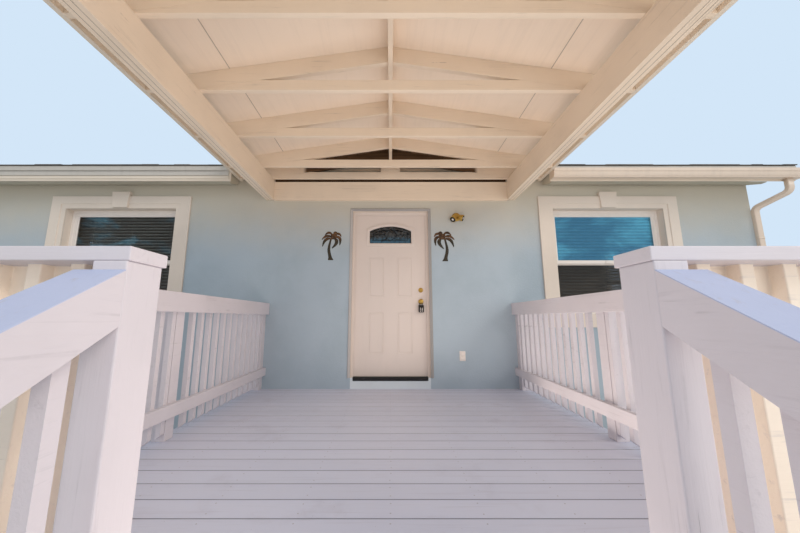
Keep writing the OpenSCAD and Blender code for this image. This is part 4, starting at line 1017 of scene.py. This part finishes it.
class BUNGALOW_OT_shingles(Operator):
    """Lay shingle tabs and ridge caps on the house roof and the porch roof"""

    bl_idname = "bungalow.shingles"
    bl_label = "Roof shingles"

    def execute(self, context):
        sizes = context.scene.bungalow_sizes
        rng = np.random.default_rng(sizes.seed)
        cosine = 1 / math.hypot(1, HOUSE_SLOPE)
        sine = HOUSE_SLOPE * cosine
        edge = roof_low.y - 0.012
        full = (RIDGE_Y - edge) / cosine
        exposure = sizes.course
        notch = math.ceil((FACE_Y - edge) / cosine / exposure) * exposure
        left, right = roof_low.x - 0.012, roof_high.x + 0.012

        def front(a, s, h):
            y = edge + s * cosine - h * sine
            return np.stack([a, y, house_top(edge) + s * sine + h * cosine], -1)

        def back(a, s, h):
            return front(a, s, h) * [1, -1, 1] + [0, 2 * RIDGE_Y, 0]

        gap = porch_high.x + 0.004
        beside_porch = [((left, -gap), (0, notch)), ((gap, right), (0, notch))]
        patches = [
            ("front_shingles", front, [*beside_porch, ((left, right), (notch, full))]),
            ("back_shingles", back, [((left, right), (0, full))]),
        ]
        for name, place, parts in patches:
            made = [roof_patch(along, rise, exposure, place, rng) for along, rise in parts]
            tone = np.concatenate([m[2] for m in made])
            piece(name, [m[:2] for m in made], "shingles", smooth=False, tone=tone)

        def ridge(a, s, h):
            z = roof_high.z - np.abs(s) * HOUSE_SLOPE + h
            return np.stack([a, RIDGE_Y + s, z], -1)

        caps, tone = ridge_caps(left, right, exposure, ridge, rng)
        piece("house_ridge_caps", caps, "shingles", smooth=False, tone=tone)
        self.porch(exposure, rng)
        return {"FINISHED"}

    def porch(self, exposure, rng):
        """The porch slopes rise to x=0, and their shingles stop where they meet the house roof."""
        cosine = 1 / math.hypot(1, PORCH_SLOPE)
        sine = PORCH_SLOPE * cosine
        half = porch_high.x + 0.012
        full = half / cosine
        front, back = porch_low.y - 0.012, porch_high.y

        def meets_house(points):
            end = RIDGE_Y - (roof_high.z - points[..., 2]) / HOUSE_SLOPE
            end = np.where(points[..., 2] < house_top(FACE_Y), FACE_Y, end)
            points[..., 1] = np.minimum(points[..., 1], end)
            return points

        def slope(side):
            def place(a, s, h):
                x = half - s * cosine + h * sine
                z = porch_high.z - half * PORCH_SLOPE + s * sine + h * cosine
                return np.stack([side * x, a, z], -1)

            return place

        def ridge(a, s, h):
            return np.stack([s, a, porch_high.z - np.abs(s) * PORCH_SLOPE + h], -1)

        made = [roof_patch((front, back), (0, full), exposure, slope(side), rng, meets_house) for side in (-1, 1)]
        tone = np.concatenate([m[2] for m in made])
        solids = [m[:2] for m in made]
        piece("porch_shingles", solids, "shingles", smooth=False, tone=tone)
        caps, tone = ridge_caps(front, back, exposure, ridge, rng, meets_house)
        piece("porch_ridge_caps", caps, "shingles", smooth=False, tone=tone)


class BUNGALOW_OT_downspouts(Operator):
    """Sweep fluted downspouts with round bends, and strap them to the walls"""

    bl_idname = "bungalow.downspouts"
    bl_label = "Downspouts"

    def execute(self, context):
        low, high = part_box("downspouts")
        width, deep = 0.076, 0.05
        pipe_x, pipe_y = base_high.x + width / 2, FACE_Y - 0.015
        outlet_x, outlet_y = high.x - width / 2, low.y + deep / 2
        foot_z = 0.0608
        corners = [
            (outlet_x, outlet_y, high.z),
            (outlet_x, outlet_y, high.z - 0.156),
            (pipe_x, pipe_y, high.z - 0.29),
            (pipe_x, pipe_y, foot_z + 0.076),
            (pipe_x, pipe_y - 0.152, foot_z),
        ]
        # The section is a superellipse, |cos|^0.3 by |sin|^0.3, with sixteen shallow flutes.
        angle = np.linspace(0, 2 * np.pi, 48, endpoint=False)
        turn = np.column_stack([np.cos(angle), np.sin(angle)])
        outline = np.sign(turn) * np.abs(turn) ** 0.3 * [deep / 2, width / 2]
        flute = 1 - 0.03 * (0.5 - 0.5 * np.cos(16 * angle))
        path = rounded_path(corners, context.scene.bungalow_sizes.pipe_bend)
        front = [sweep(path, outline * flute[:, None], (1, 0, 0))]
        band = outline[:, ::-1] * 1.07 + [pipe_x, pipe_y]
        for z in (0.55, 1.55, 2.55):
            front.append(loft([np.column_stack([band, np.full(48, z + dz)]) for dz in (-0.014, 0.014)]))
        solids = front + [mirrored(solid, RIDGE_Y) for solid in front]
        made = piece("downspout_pipes", solids, "gutter_enamel")
        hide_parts("downspouts")
        return {"FINISHED"}


HOUSE_DEPTH = 7.6
WINDOW_XS = (-3.495, 2.82)
WINDOWS_FRONT = [("front", x) for x in WINDOW_XS]
WINDOWS_OTHER = [(wall, part * HOUSE_DEPTH) for wall in ("left", "right") for part in (0.27, 0.73)]
WINDOWS_OTHER += [("back", x) for x in (WINDOW_XS[0], sum(WINDOW_XS) / 2, WINDOW_XS[1])]


def on_wall(points, wall, place):
    """Moves points made on a front wall (x across, y into the wall, z up) to a place on any wall."""
    x, y, z = np.moveaxis(np.asarray(points, float), -1, 0)
    if wall == "front":
        return np.stack([place + x, FACE_Y + y, z], -1)
    if wall == "back":
        return np.stack([place - x, base_high.y - y, z], -1)
    if wall == "left":
        return np.stack([base_low.x + y, FACE_Y + place - x, z], -1)
    return np.stack([base_high.x - y, FACE_Y + place + x, z], -1)


def at_windows(windows, solids):
    """The solids, made once on a front wall, at each of the windows."""
    return [(on_wall(points, *window), faces) for window in windows for points, faces in solids]


class BUNGALOW_OT_blinds(Operator):
    """Hang a blind with tilted slats, ladder cords and two rails behind each window"""

    bl_idname = "bungalow.blinds"
    bl_label = "Window blinds"

    def execute(self, context):
        sizes = context.scene.bungalow_sizes
        half, y = 0.755, WALL_T + 0.036
        low_z, high_z = glass_low.z - 0.09, glass_high.z + 0.11
        rails = [
            slab(0, half, (WALL_T, WALL_T + 0.06), (high_z, high_z + 0.05), 0.006, 0),
            slab(0, half, (y - 0.026, y + 0.026), (low_z, low_z + 0.022), 0.006, 0),
        ]
        # A slat's section is crowned as 1-4t^2 and tilted.
        t = np.linspace(-0.5, 0.5, 5)
        crown = 0.004 * (1 - 4 * t**2)
        t = t * sizes.slat
        flat = np.concatenate([np.column_stack([t, crown]), np.column_stack([t, crown - 0.003])[::-1]])
        c, s = math.cos(sizes.slat_tilt), math.sin(sizes.slat_tilt)
        section = flat @ np.array([[c, -s], [-s, c]])
        levels = low_z + 0.045 + sizes.slat_pitch * np.arange(int((high_z - low_z - 0.04) / sizes.slat_pitch))
        slats = [extrude(section + [y, level], -half, half) for level in levels]
        cords = []
        for x in (-0.52, 0.0, 0.52):
            for dy in (-0.022, 0.022):
                path = [(x, y + dy, z) for z in (low_z + 0.02, (low_z + high_z) / 2, high_z)]
                cords.append(sweep(path, circle(0.0012, 6), (1, 0, 0)))
        for name, windows in (("front_blinds", WINDOWS_FRONT), ("other_blinds", WINDOWS_OTHER)):
            solids = at_windows(windows, slats + rails + cords)
            piece(name, solids, "blind_slats", smooth=False)
        return {"FINISHED"}


class BUNGALOW_OT_sash_details(Operator):
    """Add glazing beads, sash locks and a lift rail to every window"""

    bl_idname = "bungalow.sash_details"
    bl_label = "Sash details"

    def execute(self, context):
        half, middle, sash_y = 0.649, MEETING_Z, 0.098
        bead = [(0, 0), (0, 0.006), (0.006, 0.004), (0.012, 0), (0.012, -0.004), (0, -0.004)]
        upper = (middle + 0.018, glass_high.z, sash_y + 0.012)
        lower = (glass_low.z, middle - 0.018, sash_y + 0.048)
        solids = [frame_ring(0, (z1 + z2) / 2, half, (z2 - z1) / 2, y, bead) for z1, z2, y in (upper, lower)]
        lift_z = glass_low.z - 0.024
        solids += [
            slab(0, 0.03, (sash_y - 0.012, sash_y), (middle - 0.012, middle + 0.012), 0.004),
            slab(0, 0.6, (sash_y + 0.026, sash_y + 0.038), (lift_z - 0.006, lift_z + 0.006), 0.003, 0),
        ]
        for name, windows in (("front_sash_details", WINDOWS_FRONT), ("other_sash_details", WINDOWS_OTHER)):
            piece(name, at_windows(windows, solids), "window_vinyl", smooth=False)
        return {"FINISHED"}


def lite_ring(y, profile, count=41):
    """A moulding round the arched glass: profile is (distance outwards, height above the face at y).

    It goes through the two lower corners, then round the arch from right to left.
    """
    grow, height = np.asarray(profile, float).T
    reach = np.arcsin((LITE_HALF + grow) / (LITE_R + grow))
    angle = np.linspace(1, -1, count)[:, None] * reach
    x = np.concatenate([[-LITE_HALF - grow], [LITE_HALF + grow], (LITE_R + grow) * np.sin(angle)])
    arch = LITE_TOP - LITE_R + (LITE_R + grow) * np.cos(angle)
    z = np.concatenate([[LITE_Z - grow], [LITE_Z - grow], arch])
    return loft(np.stack([x, y - height + 0 * x, z], -1), closed=True)


class BUNGALOW_OT_door_mouldings(Operator):
    """Run mouldings round the door's panels and its arched glass, on both faces"""

    bl_idname = "bungalow.door_mouldings"
    bl_label = "Door mouldings"

    def execute(self, context):
        # Profiles as (distance from the moulding's outer edge, height above the face).
        ogee = [
            (0, 0), (0.004, -0.0005), (0.009, -0.005), (0.0125, -0.0068), (0.0155, -0.0058),
            (0.018, -0.0025), (0.022, -0.0012), (0.026, 0), (0.026, -0.0082), (0, -0.0082),
        ]
        raised = [
            (0, 0), (0.003, 0.006), (0.01, 0.008), (0.018, 0.004), (0.026, 0.0015), (0.026, -0.001), (0, -0.001),
        ]
        lip = [
            (-0.001, -0.012), (-0.001, 0.004), (0.006, 0.009), (0.016, 0.0115), (0.026, 0.0085),
            (0.031, 0.0085), (0.039, 0.0062), (0.0455, 0.0), (0.0455, -0.004), (0.01, -0.004),
        ]
        middle_y = DOOR_FACE + DOOR_T / 2
        solids = []
        for x in (-0.18, 0.18):
            for foot, height in ((0.962, 0.509), (0.267, 0.505)):
                panel = (x, DOOR_Z + foot + height / 2, 0.095, height / 2, DOOR_FACE)
                solids += [frame_ring(*panel, ogee), mirrored(frame_ring(*panel, raised), middle_y)]
        ring = lite_ring(DOOR_FACE - 0.0005, lip)
        piece("door_mouldings", [*solids, ring, mirrored(ring, middle_y)], "door_enamel", DOOR)
        return {"FINISHED"}


class BUNGALOW_OT_door_cames(Operator):
    """Lay lead cames over the door's arched glass: a border, a spread of bars and a central lozenge"""

    bl_idname = "bungalow.door_cames"
    bl_label = "Leaded glass"

    def execute(self, context):
        wide = context.scene.bungalow_sizes.came
        y = DOOR_FACE + DOOR_T / 2
        inset = 0.042
        solids = []
        for a, b, h in ((0.001, wide, 0.005), (inset, inset + wide, 0.0048)):
            solids.append(lite_ring(y, [(-a, -h), (-a, h), (-b, h), (-b, -h)]))
        bottom, top = LITE_Z + 0.004, LITE_TOP - 0.004
        middle = LITE_Z + 0.52 * (LITE_TOP - LITE_Z)
        half, thick = wide / 2, 0.0045
        section = [(-half, -thick), (half, -thick), (half, thick), (-half, thick)]

        def bar(x1, z1, x2, z2, bow=0.0):
            t = np.linspace(0, 1, 9)
            path = np.column_stack([x1 + (x2 - x1) * t, np.full(9, y), z1 + (z2 - z1) * t + bow * 4 * t * (1 - t)])
            solids.append(sweep(path, section, (0, 1, 0)))

        tall, across = 0.075, 0.085
        for side in (-1, 1):
            bar(side * across, middle, side * (LITE_HALF - inset), middle)
            for up, end in ((1, top - 0.062), (-1, bottom + inset)):
                bar(0, middle + up * tall, side * across, middle, up * 0.012)
                bar(side * 0.04, middle + up * 0.045, side * 0.16, end, up * 0.008)
        bar(0, middle + tall, 0, top - inset)
        bar(0, middle - tall, 0, bottom + inset)
        piece("door_cames", solids, "lead", DOOR, smooth=False)
        return {"FINISHED"}


class BUNGALOW_OT_door_hardware(Operator):
    """Turn the knobs and bolts of the front door, and hang a bare lock box from the outer knob"""

    bl_idname = "bungalow.door_hardware"
    bl_label = "Door hardware"

    def execute(self, context):
        # Turned profiles as (radius, height above the face); the knob ends in a ball.
        rose = [(0.033, -0.0005), (0.033, 0.003), (0.031, 0.0055), (0.022, 0.008), (0.014, 0.012)]
        angle = np.radians(np.linspace(-62, 90, 14))
        ball = np.column_stack([0.027 * np.cos(angle), 0.044 + 0.017 * np.sin(angle)])
        knob = [(0.0, -0.0005), *rose, (0.0115, 0.018), (0.012, 0.024), *ball]
        bolt = [
            (0.0, -0.0005), (0.03, -0.0005), (0.03, 0.003), (0.028, 0.0055), (0.0235, 0.009), (0.0225, 0.018),
            (0.02, 0.0225), (0.009, 0.024), (0.0, 0.024),
        ]
        inner_y = DOOR_FACE + DOOR_T
        solids = []
        for z, profile in ((KNOB_Z, knob), (BOLT_Z, bolt)):
            solids.append(lathe(np.array(profile) * [1, -1], (LOCK_X, DOOR_FACE, z), 1))
            solids.append(lathe(profile, (LOCK_X, inner_y, z), 1))
        grip_y, grip_z = (inner_y + 0.023, inner_y + 0.035), (BOLT_Z - 0.017, BOLT_Z + 0.017)
        solids.append(slab(LOCK_X, 0.004, grip_y, grip_z, 0.003))
        made = piece("knobs_and_bolts", solids, "polished_brass", DOOR)
        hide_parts("door_hardware")

        face = DOOR_FACE - 0.012
        body = slab(LOCK_X, 0.032, (face - 0.034, face), (KNOB_Z - 0.135, KNOB_Z - 0.045), 0.009)
        lid = slab(LOCK_X, 0.022, (face - 0.0385, face - 0.033), (KNOB_Z - 0.128, KNOB_Z - 0.075), 0.006)
        turn = np.linspace(0, np.pi, 15)
        x, z = LOCK_X + 0.0195 * np.cos(turn), KNOB_Z - 0.004 + 0.0195 * np.sin(turn)
        x, z = np.pad(x, 1, "edge"), np.pad(z, 1, constant_values=KNOB_Z - 0.05)
        shackle = sweep(np.column_stack([x, np.full(17, face - 0.017), z]), circle(0.0036, 10), (0, 1, 0))
        piece("lock_box", [body, lid, shackle], "rubber", DOOR)
        button = [(0, 0), (0.0056, 0), (0.0056, -0.002), (0.0045, -0.003), (0, -0.003)]
        places = [(LOCK_X + x, face - 0.0383, KNOB_Z + z) for x in (-0.011, 0.011) for z in (-0.084, -0.1015, -0.119)]
        buttons = [lathe(button, place, 1, 16) for place in places]
        piece("lock_box_buttons", buttons, "white_plastic", DOOR)
        return {"FINISHED"}


class BUNGALOW_OT_door_seals(Operator):
    """Add the seal at the door's foot, and the threshold with its nosing"""

    bl_idname = "bungalow.door_seals"
    bl_label = "Door seals"

    def execute(self, context):
        foot_y, foot_z = (DOOR_FACE + 0.004, DOOR_FACE + 0.03), (DOOR_Z - 0.0045, DOOR_Z + 0.0005)
        foot = slab(0, DOOR_HALF - 0.004, foot_y, foot_z, 0.0015, 0)
        piece("door_foot_seal", [foot], "rubber", DOOR, smooth=False)
        half = DOOR_HALF - 0.005
        sill = slab(0, half, (FACE_Y + 0.006, DOOR_FACE - 0.012), (FLOOR_Z - 0.001, FLOOR_Z + 0.009), 0.004, 0)
        nosing = slab(0, half, (FACE_Y - 0.007, FACE_Y + 0.012), (FLOOR_Z - 0.034, FLOOR_Z + 0.004), 0.003, 0)
        piece("threshold", [sill, nosing], "rubber", HOUSE, smooth=False)
        return {"FINISHED"}


class BUNGALOW_OT_door_return(Operator):
    """Run the sloping stucco return round the door: three mitred sides that fall towards the frame"""

    bl_idname = "bungalow.door_return"
    bl_label = "Door return"

    def execute(self, context):
        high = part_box("door_frame")[1]
        section = [(0.036, -0.002), (0.036, 0.003), (0.032, 0.01), (0.027, 0.012), (0.0, 0.001), (0.0, -0.002)]
        out, height = np.array(section).T
        corners = np.array([[-1, 0], [-1, 1], [1, 1], [1, 0]], float)
        rings = np.empty((4, len(section), 3))
        rings[..., 0] = corners[:, :1] * (high.x + out)
        rings[..., 1] = FACE_Y - height
        rings[..., 2] = np.where(corners[:, 1:] > 0, high.z + out, FLOOR_Z)
        # The left side gets the lighter stucco and the top and right side the darker one, as painted light and shade.
        piece("door_return_left", [loft(rings[:2])], "lit_return_stucco", smooth=False)
        piece("door_return", [loft(rings[1:])], "return_stucco", smooth=False)
        return {"FINISHED"}


# The palms as drawn, PALM_DRAWN high: the trunk as [middle, half width, height], each frond as its rib's start, bend
# and tip with its half width, and the tufts at the crown as [x, z, radius]. Their places are (side that the first
# frond points to, x, lift above the nodes' foot, growth).
PALM_TRUNK = [[0, 37, 0], [-4, 30, 16], [-8, 22, 35], [-14, 20, 60], [-24, 19, 100], [-28, 18, 135],
              [-24, 15, 180], [-14, 12, 225], [0, 11, 285]]
PALM_FRONDS = [([10, 318], [-33, 377], [-82, 312], 17), ([0, 290], [-64, 331], [-118, 256], 18),
               ([-8, 270], [-86, 285], [-107, 170], 21), ([50, 325], [99, 352], [122, 294], 17),
               ([52, 292], [132, 302], [104, 186], 21), ([34, 272], [108, 239], [10, 148], 25)]
PALM_TUFTS = [[18, 290, 30], [44, 300, 30], [48, 337, 26], [12, 312, 22]]
PALM_PLACES = [(1, -0.757, 0.0, 1.0), (-1, 0.692, -0.014, 1.04)]
PALM_DRAWN = 363


class BUNGALOW_OT_palms(Operator):
    """Model the two sheet metal palms: a ringed trunk on a flared foot, and domed fronds with notched edges"""

    bl_idname = "bungalow.palms"
    bl_label = "Palm ornaments"

    def execute(self, context):
        scale = context.scene.bungalow_sizes.palm / PALM_DRAWN
        solids = []
        for side, foot_x, lift, grow in PALM_PLACES:
            for points, faces in [self.trunk(), *map(self.frond, PALM_FRONDS), *map(self.tuft, PALM_TUFTS)]:
                points = points * scale * grow
                x = foot_x + side * points[:, 0]
                place = np.column_stack([x, FACE_Y - points[:, 1], PALM_FOOT + lift + points[:, 2]])
                solids.append((place, faces))
        made = piece("palm_sheets", solids, "bronze", smooth=False)
        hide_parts("palm_ornaments")
        return {"FINISHED"}

    def trunk(self):
        """Middle and half width are read off at each height; the front bulges as 1-s^2 and steps at each ring."""
        middle, half, level = np.array(PALM_TRUNK, float).T
        z = np.linspace(0, level[-1], 97)
        ring = z / 13 % 1
        half_w = np.interp(z, level, half) * (0.93 + 0.07 * ring)
        s = np.linspace(-1, 1, 7)
        bulge = 2.0 + (3.4 + 1.2 * ring[:, None]) * (1 - s**2)
        x = np.interp(z, level, middle)[:, None] + half_w[:, None] * s
        front = np.stack([x, bulge, z[:, None] + 0 * s], -1)
        back = front[:, ::-1] * [1, 0, 1]
        return loft(np.concatenate([front, back], 1))

    def frond(self, drawn):
        """The rib is a quadratic curve; half width is w sin(170 t^0.8 + 5 degrees)^0.7, notched by a saw tooth."""
        a, b, c = np.array(drawn[:3], float)[:, None]
        t = np.linspace(0, 1, 71)[:, None]
        rib = a * (1 - t) ** 2 + b * 2 * t * (1 - t) + c * t**2
        lean = (b - a) * (1 - t) + (c - b) * t
        lean /= np.linalg.norm(lean, axis=1, keepdims=True)
        normal = np.column_stack([-lean[:, 1], lean[:, 0]])
        saw = 0.74 + 0.26 * (1 - t * 9 % 1)
        half_w = drawn[3] * np.sin(np.radians(170 * t**0.8 + 5)) ** 0.7 * saw
        s = np.linspace(-1, 1, 5)
        flat = rib[:, None] + normal[:, None] * (half_w * s)[..., None]
        lift = 1.8 + 4.2 * (1 - np.abs(s)) * (0.4 + 0.6 * np.sin(np.pi * t))
        front = np.stack([flat[..., 0], lift, flat[..., 1]], -1)
        return loft(np.concatenate([front, front[:, ::-1] * [1, 0, 1]], 1))

    def tuft(self, knob):
        """A low dome of the knob's radius, whose height falls as the square root of 1-r^2."""
        x, z, radius = knob
        r = np.sqrt(1 - np.linspace(0, 0.98, 7) ** 2)
        profile = [(0, 0), (radius, 0), *zip(radius * r, 1.5 + 5 * np.linspace(0, 0.98, 7)), (0, 6.5)]
        return lathe(profile, (x, 0, z), 1, 24)


class BUNGALOW_OT_wall_light(Operator):
    """Turn the wall light: a stepped plate, a neck and two lamp heads with dark ends and pale lamps"""

    bl_idname = "bungalow.wall_light"
    bl_label = "Wall light"

    def execute(self, context):
        low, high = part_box("wall_light")
        x, z = (low.x + high.x) / 2, (low.z + high.z) / 2
        radius = (high.z - low.z) / 2
        # Turned profiles as (radius, height), in units of the plate's radius.
        plate = [
            (0, 0), (1, 0), (1, 0.1), (0.94, 0.16), (0.8, 0.18), (0.76, 0.3), (0.62, 0.38), (0.3, 0.42), (0, 0.42),
        ]
        neck = [(0, 0.3), (0.26, 0.3), (0.2, 0.5), (0.2, 0.7), (0.27, 0.82), (0.27, 1.08), (0.18, 1.18), (0, 1.2)]
        head = [
            (0, -0.1), (0.3, -0.06), (0.42, 0.15), (0.5, 0.5), (0.56, 0.9), (0.56, 1.0), (0.5, 1.0), (0.46, 0.93),
            (0, 0.93),
        ]
        rim = [(0, 0.85), (0.44, 0.88), (0.5, 0.97), (0.5, 1.03), (0.4, 1.05), (0.3, 1.0), (0, 0.98)]
        lamp = [(0, 1.0), (0.2, 1.0), (0.2, 1.03), (0.12, 1.06), (0, 1.07)]
        solids = [lathe(np.array(part) * [radius, -radius], (x, FACE_Y, z), 1) for part in (plate, neck)]
        ends, lamps = [], []
        for side, aim in ((-1, (-0.55, -0.42, -0.68)), (1, (0.86, -0.36, -0.4))):
            axis = np.array(aim) / np.linalg.norm(aim)
            across = np.cross(axis, (0, 0, 1))
            across /= np.linalg.norm(across)
            turn = np.stack([across, np.cross(across, axis), axis])
            seat = np.array([x + side * 0.42 * radius, FACE_Y - 0.72 * radius, z - 0.16 * radius])
            for profile, kept in ((head, solids), (rim, ends), (lamp, lamps)):
                points, faces = lathe(np.array(profile) * [1.3 * radius, 1.1 * radius], (0, 0, 0), 2)
                kept.append((seat + points @ turn, faces))
        made = piece("wall_light_body", solids, "polished_brass")
        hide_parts("wall_light")
        piece("wall_light_ends", ends, "rubber")
        piece("wall_light_lamps", lamps, "white_plastic")
        return {"FINISHED"}


class BUNGALOW_OT_outlet(Operator):
    """Fit the covered outlet on the wall beside the door"""

    bl_idname = "bungalow.outlet"
    bl_label = "Wall outlet"

    def execute(self, context):
        x, z = 0.87, DECK_Z + 0.378
        solids = [slab(x, 0.036, (FACE_Y - 0.007, FACE_Y + 0.001), (z - 0.058, z + 0.058), 0.006)]
        for middle in (z - 0.027, z + 0.027):
            solids.append(slab(x, 0.024, (FACE_Y - 0.014, FACE_Y - 0.006), (middle - 0.021, middle + 0.021), 0.008))
        solids.append(lathe([(0, 0), (0.004, 0), (0.003, 0.0018), (0, 0.002)], (x, FACE_Y - 0.009, z), 1, 16))
        piece("outlet_cover", solids, "white_plastic")
        return {"FINISHED"}


class BUNGALOW_OT_eave_trims(Operator):
    """Fix drip edges, a lath, soffits and their ends to the eaves, and a dark packing strip over the porch's ledger:
    bare wood darkened as painted shade of the gap
    """

    bl_idname = "bungalow.eave_trims"
    bl_label = "Eave trims"

    def execute(self, context):
        left, right = roof_low.x - 0.004, roof_high.x + 0.004
        porch = porch_high.x + 0.004

        def strip(x1, x2, y, thick, z1, z2):
            return rounded_block((x1, y - thick, z1), (x2, y, z2), 0.3 * thick, 3, axis=0)

        edge = (roof_low.y, 0.003, gutter_top.z + 0.004, house_top(roof_low.y) - 0.012)
        drips = [strip(left, -porch, *edge), strip(porch, right, *edge), mirrored(strip(left, right, *edge), RIDGE_Y)]
        drips.append(strip(left, -porch, FASCIA_Y, 0.014, gutter_top.z - 0.056, gutter_top.z + 0.03))
        piece("drip_edges", drips, "drip_metal", smooth=False)
        lath = strip(left, -porch, FASCIA_Y, 0.009, gutter_top.z - 0.096, gutter_top.z - 0.064)
        piece("fascia_lath", [lath], "trim_x", smooth=False)

        # The rafters' undersides run level from the fascia, then rise with the roof to the wall.
        bend_y = FACE_Y - TAIL_RISE / HOUSE_SLOPE
        line = np.array([(FASCIA_Y + 0.02, SOFFIT_Z), (bend_y, SOFFIT_Z), (FACE_Y, SOFFIT_Z + TAIL_RISE)])
        board = np.concatenate([line, line[::-1] - [0, 0.007]])
        soffits = [extrude(board, base_low.x, -porch), extrude(board, porch, base_high.x)]
        soffits.append(mirrored(extrude(board, base_low.x, base_high.x), RIDGE_Y))
        piece("soffits", soffits, "soffit_boards", smooth=False)
        ends = line[[2, 0], 0]
        shut = np.concatenate([line, np.column_stack([ends, house_top(ends) - HOUSE_COVER])])
        returns = [extrude(shut, -porch - 0.008, -porch), extrude(shut, porch, porch + 0.008)]
        piece("eave_returns", returns, "wall_stucco", smooth=False)

        # A strip of bare wood fills the gap over the ledger, darker than the wood as painted shade.
        low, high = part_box("porch_ledger")
        back, foot, top = FACE_Y - 0.004, high.z + 0.001, high.z + 0.06
        packing = extrude([(back, foot), (FACE_Y, foot), (FACE_Y, top), (back, top)], low.x, high.x)
        piece("ledger_packing", [packing], "bare_board", smooth=False)
        return {"FINISHED"}


class BUNGALOW_OT_deck_screws(Operator):
    """Drive two rows of screws through every deck board at each joist"""

    bl_idname = "bungalow.deck_screws"
    bl_label = "Deck screws"

    def execute(self, context):
        sizes = context.scene.bungalow_sizes
        r = sizes.screw
        head = [(0, -0.001), (r, -0.001), (r, 0.0002), (0.75 * r, 0.0007), (0.3 * r, 0.0003), (0, 0.0003)]
        rng = np.random.default_rng(sizes.seed + 1)
        joists = np.linspace(-1.58, 1.58, 9)
        boards = FACE_Y - FIRST_BOARD - BOARD_PITCH * (np.arange(22) + 0.5)
        x, y, side = np.meshgrid(joists, boards, (-0.038, 0.038), indexing="ij")
        places = np.stack([x, y + side, np.full_like(x, DECK_Z)], -1).reshape(-1, 3)
        places[:, :2] += rng.uniform(-0.004, 0.004, (len(places), 2))
        piece("deck_screws", [lathe(head, place, 2, 10) for place in places], "screw_heads")
        return {"FINISHED"}


OPERATORS = [
    BUNGALOW_OT_stage,
    BUNGALOW_OT_finishes,
    BUNGALOW_OT_shingles,
    BUNGALOW_OT_downspouts,
    BUNGALOW_OT_blinds,
    BUNGALOW_OT_sash_details,
    BUNGALOW_OT_door_mouldings,
    BUNGALOW_OT_door_cames,
    BUNGALOW_OT_door_hardware,
    BUNGALOW_OT_door_seals,
    BUNGALOW_OT_door_return,
    BUNGALOW_OT_palms,
    BUNGALOW_OT_wall_light,
    BUNGALOW_OT_outlet,
    BUNGALOW_OT_eave_trims,
    BUNGALOW_OT_deck_screws,
]


class BUNGALOW_PT_panel(Panel):
    """Lists the sizes, the colours and the steps"""

    bl_idname = "BUNGALOW_PT_panel"
    bl_label = "Bungalow"
    bl_space_type = "VIEW_3D"
    bl_region_type = "UI"
    bl_category = "Bungalow"

    def draw(self, context):
        for group in (context.scene.bungalow_sizes, context.scene.bungalow_colours):
            box = self.layout.box()
            for name in group.__annotations__:
                box.prop(group, name)
        for step in OPERATORS:
            self.layout.operator(step.bl_idname)


CLASSES = [BungalowSizes, BungalowColours, *OPERATORS, BUNGALOW_PT_panel]


def register():
    for cls in CLASSES:
        bpy.utils.register_class(cls)
    bpy.types.Scene.bungalow_sizes = PointerProperty(type=BungalowSizes)
    bpy.types.Scene.bungalow_colours = PointerProperty(type=BungalowColours)


def unregister():
    del bpy.types.Scene.bungalow_colours
    del bpy.types.Scene.bungalow_sizes
    for cls in reversed(CLASSES):
        bpy.utils.unregister_class(cls)


def main():
    register()
    for step in OPERATORS:
        group, name = step.bl_idname.split(".")
        getattr(getattr(bpy.ops, group), name)()


if __name__ == "__main__":
    main()
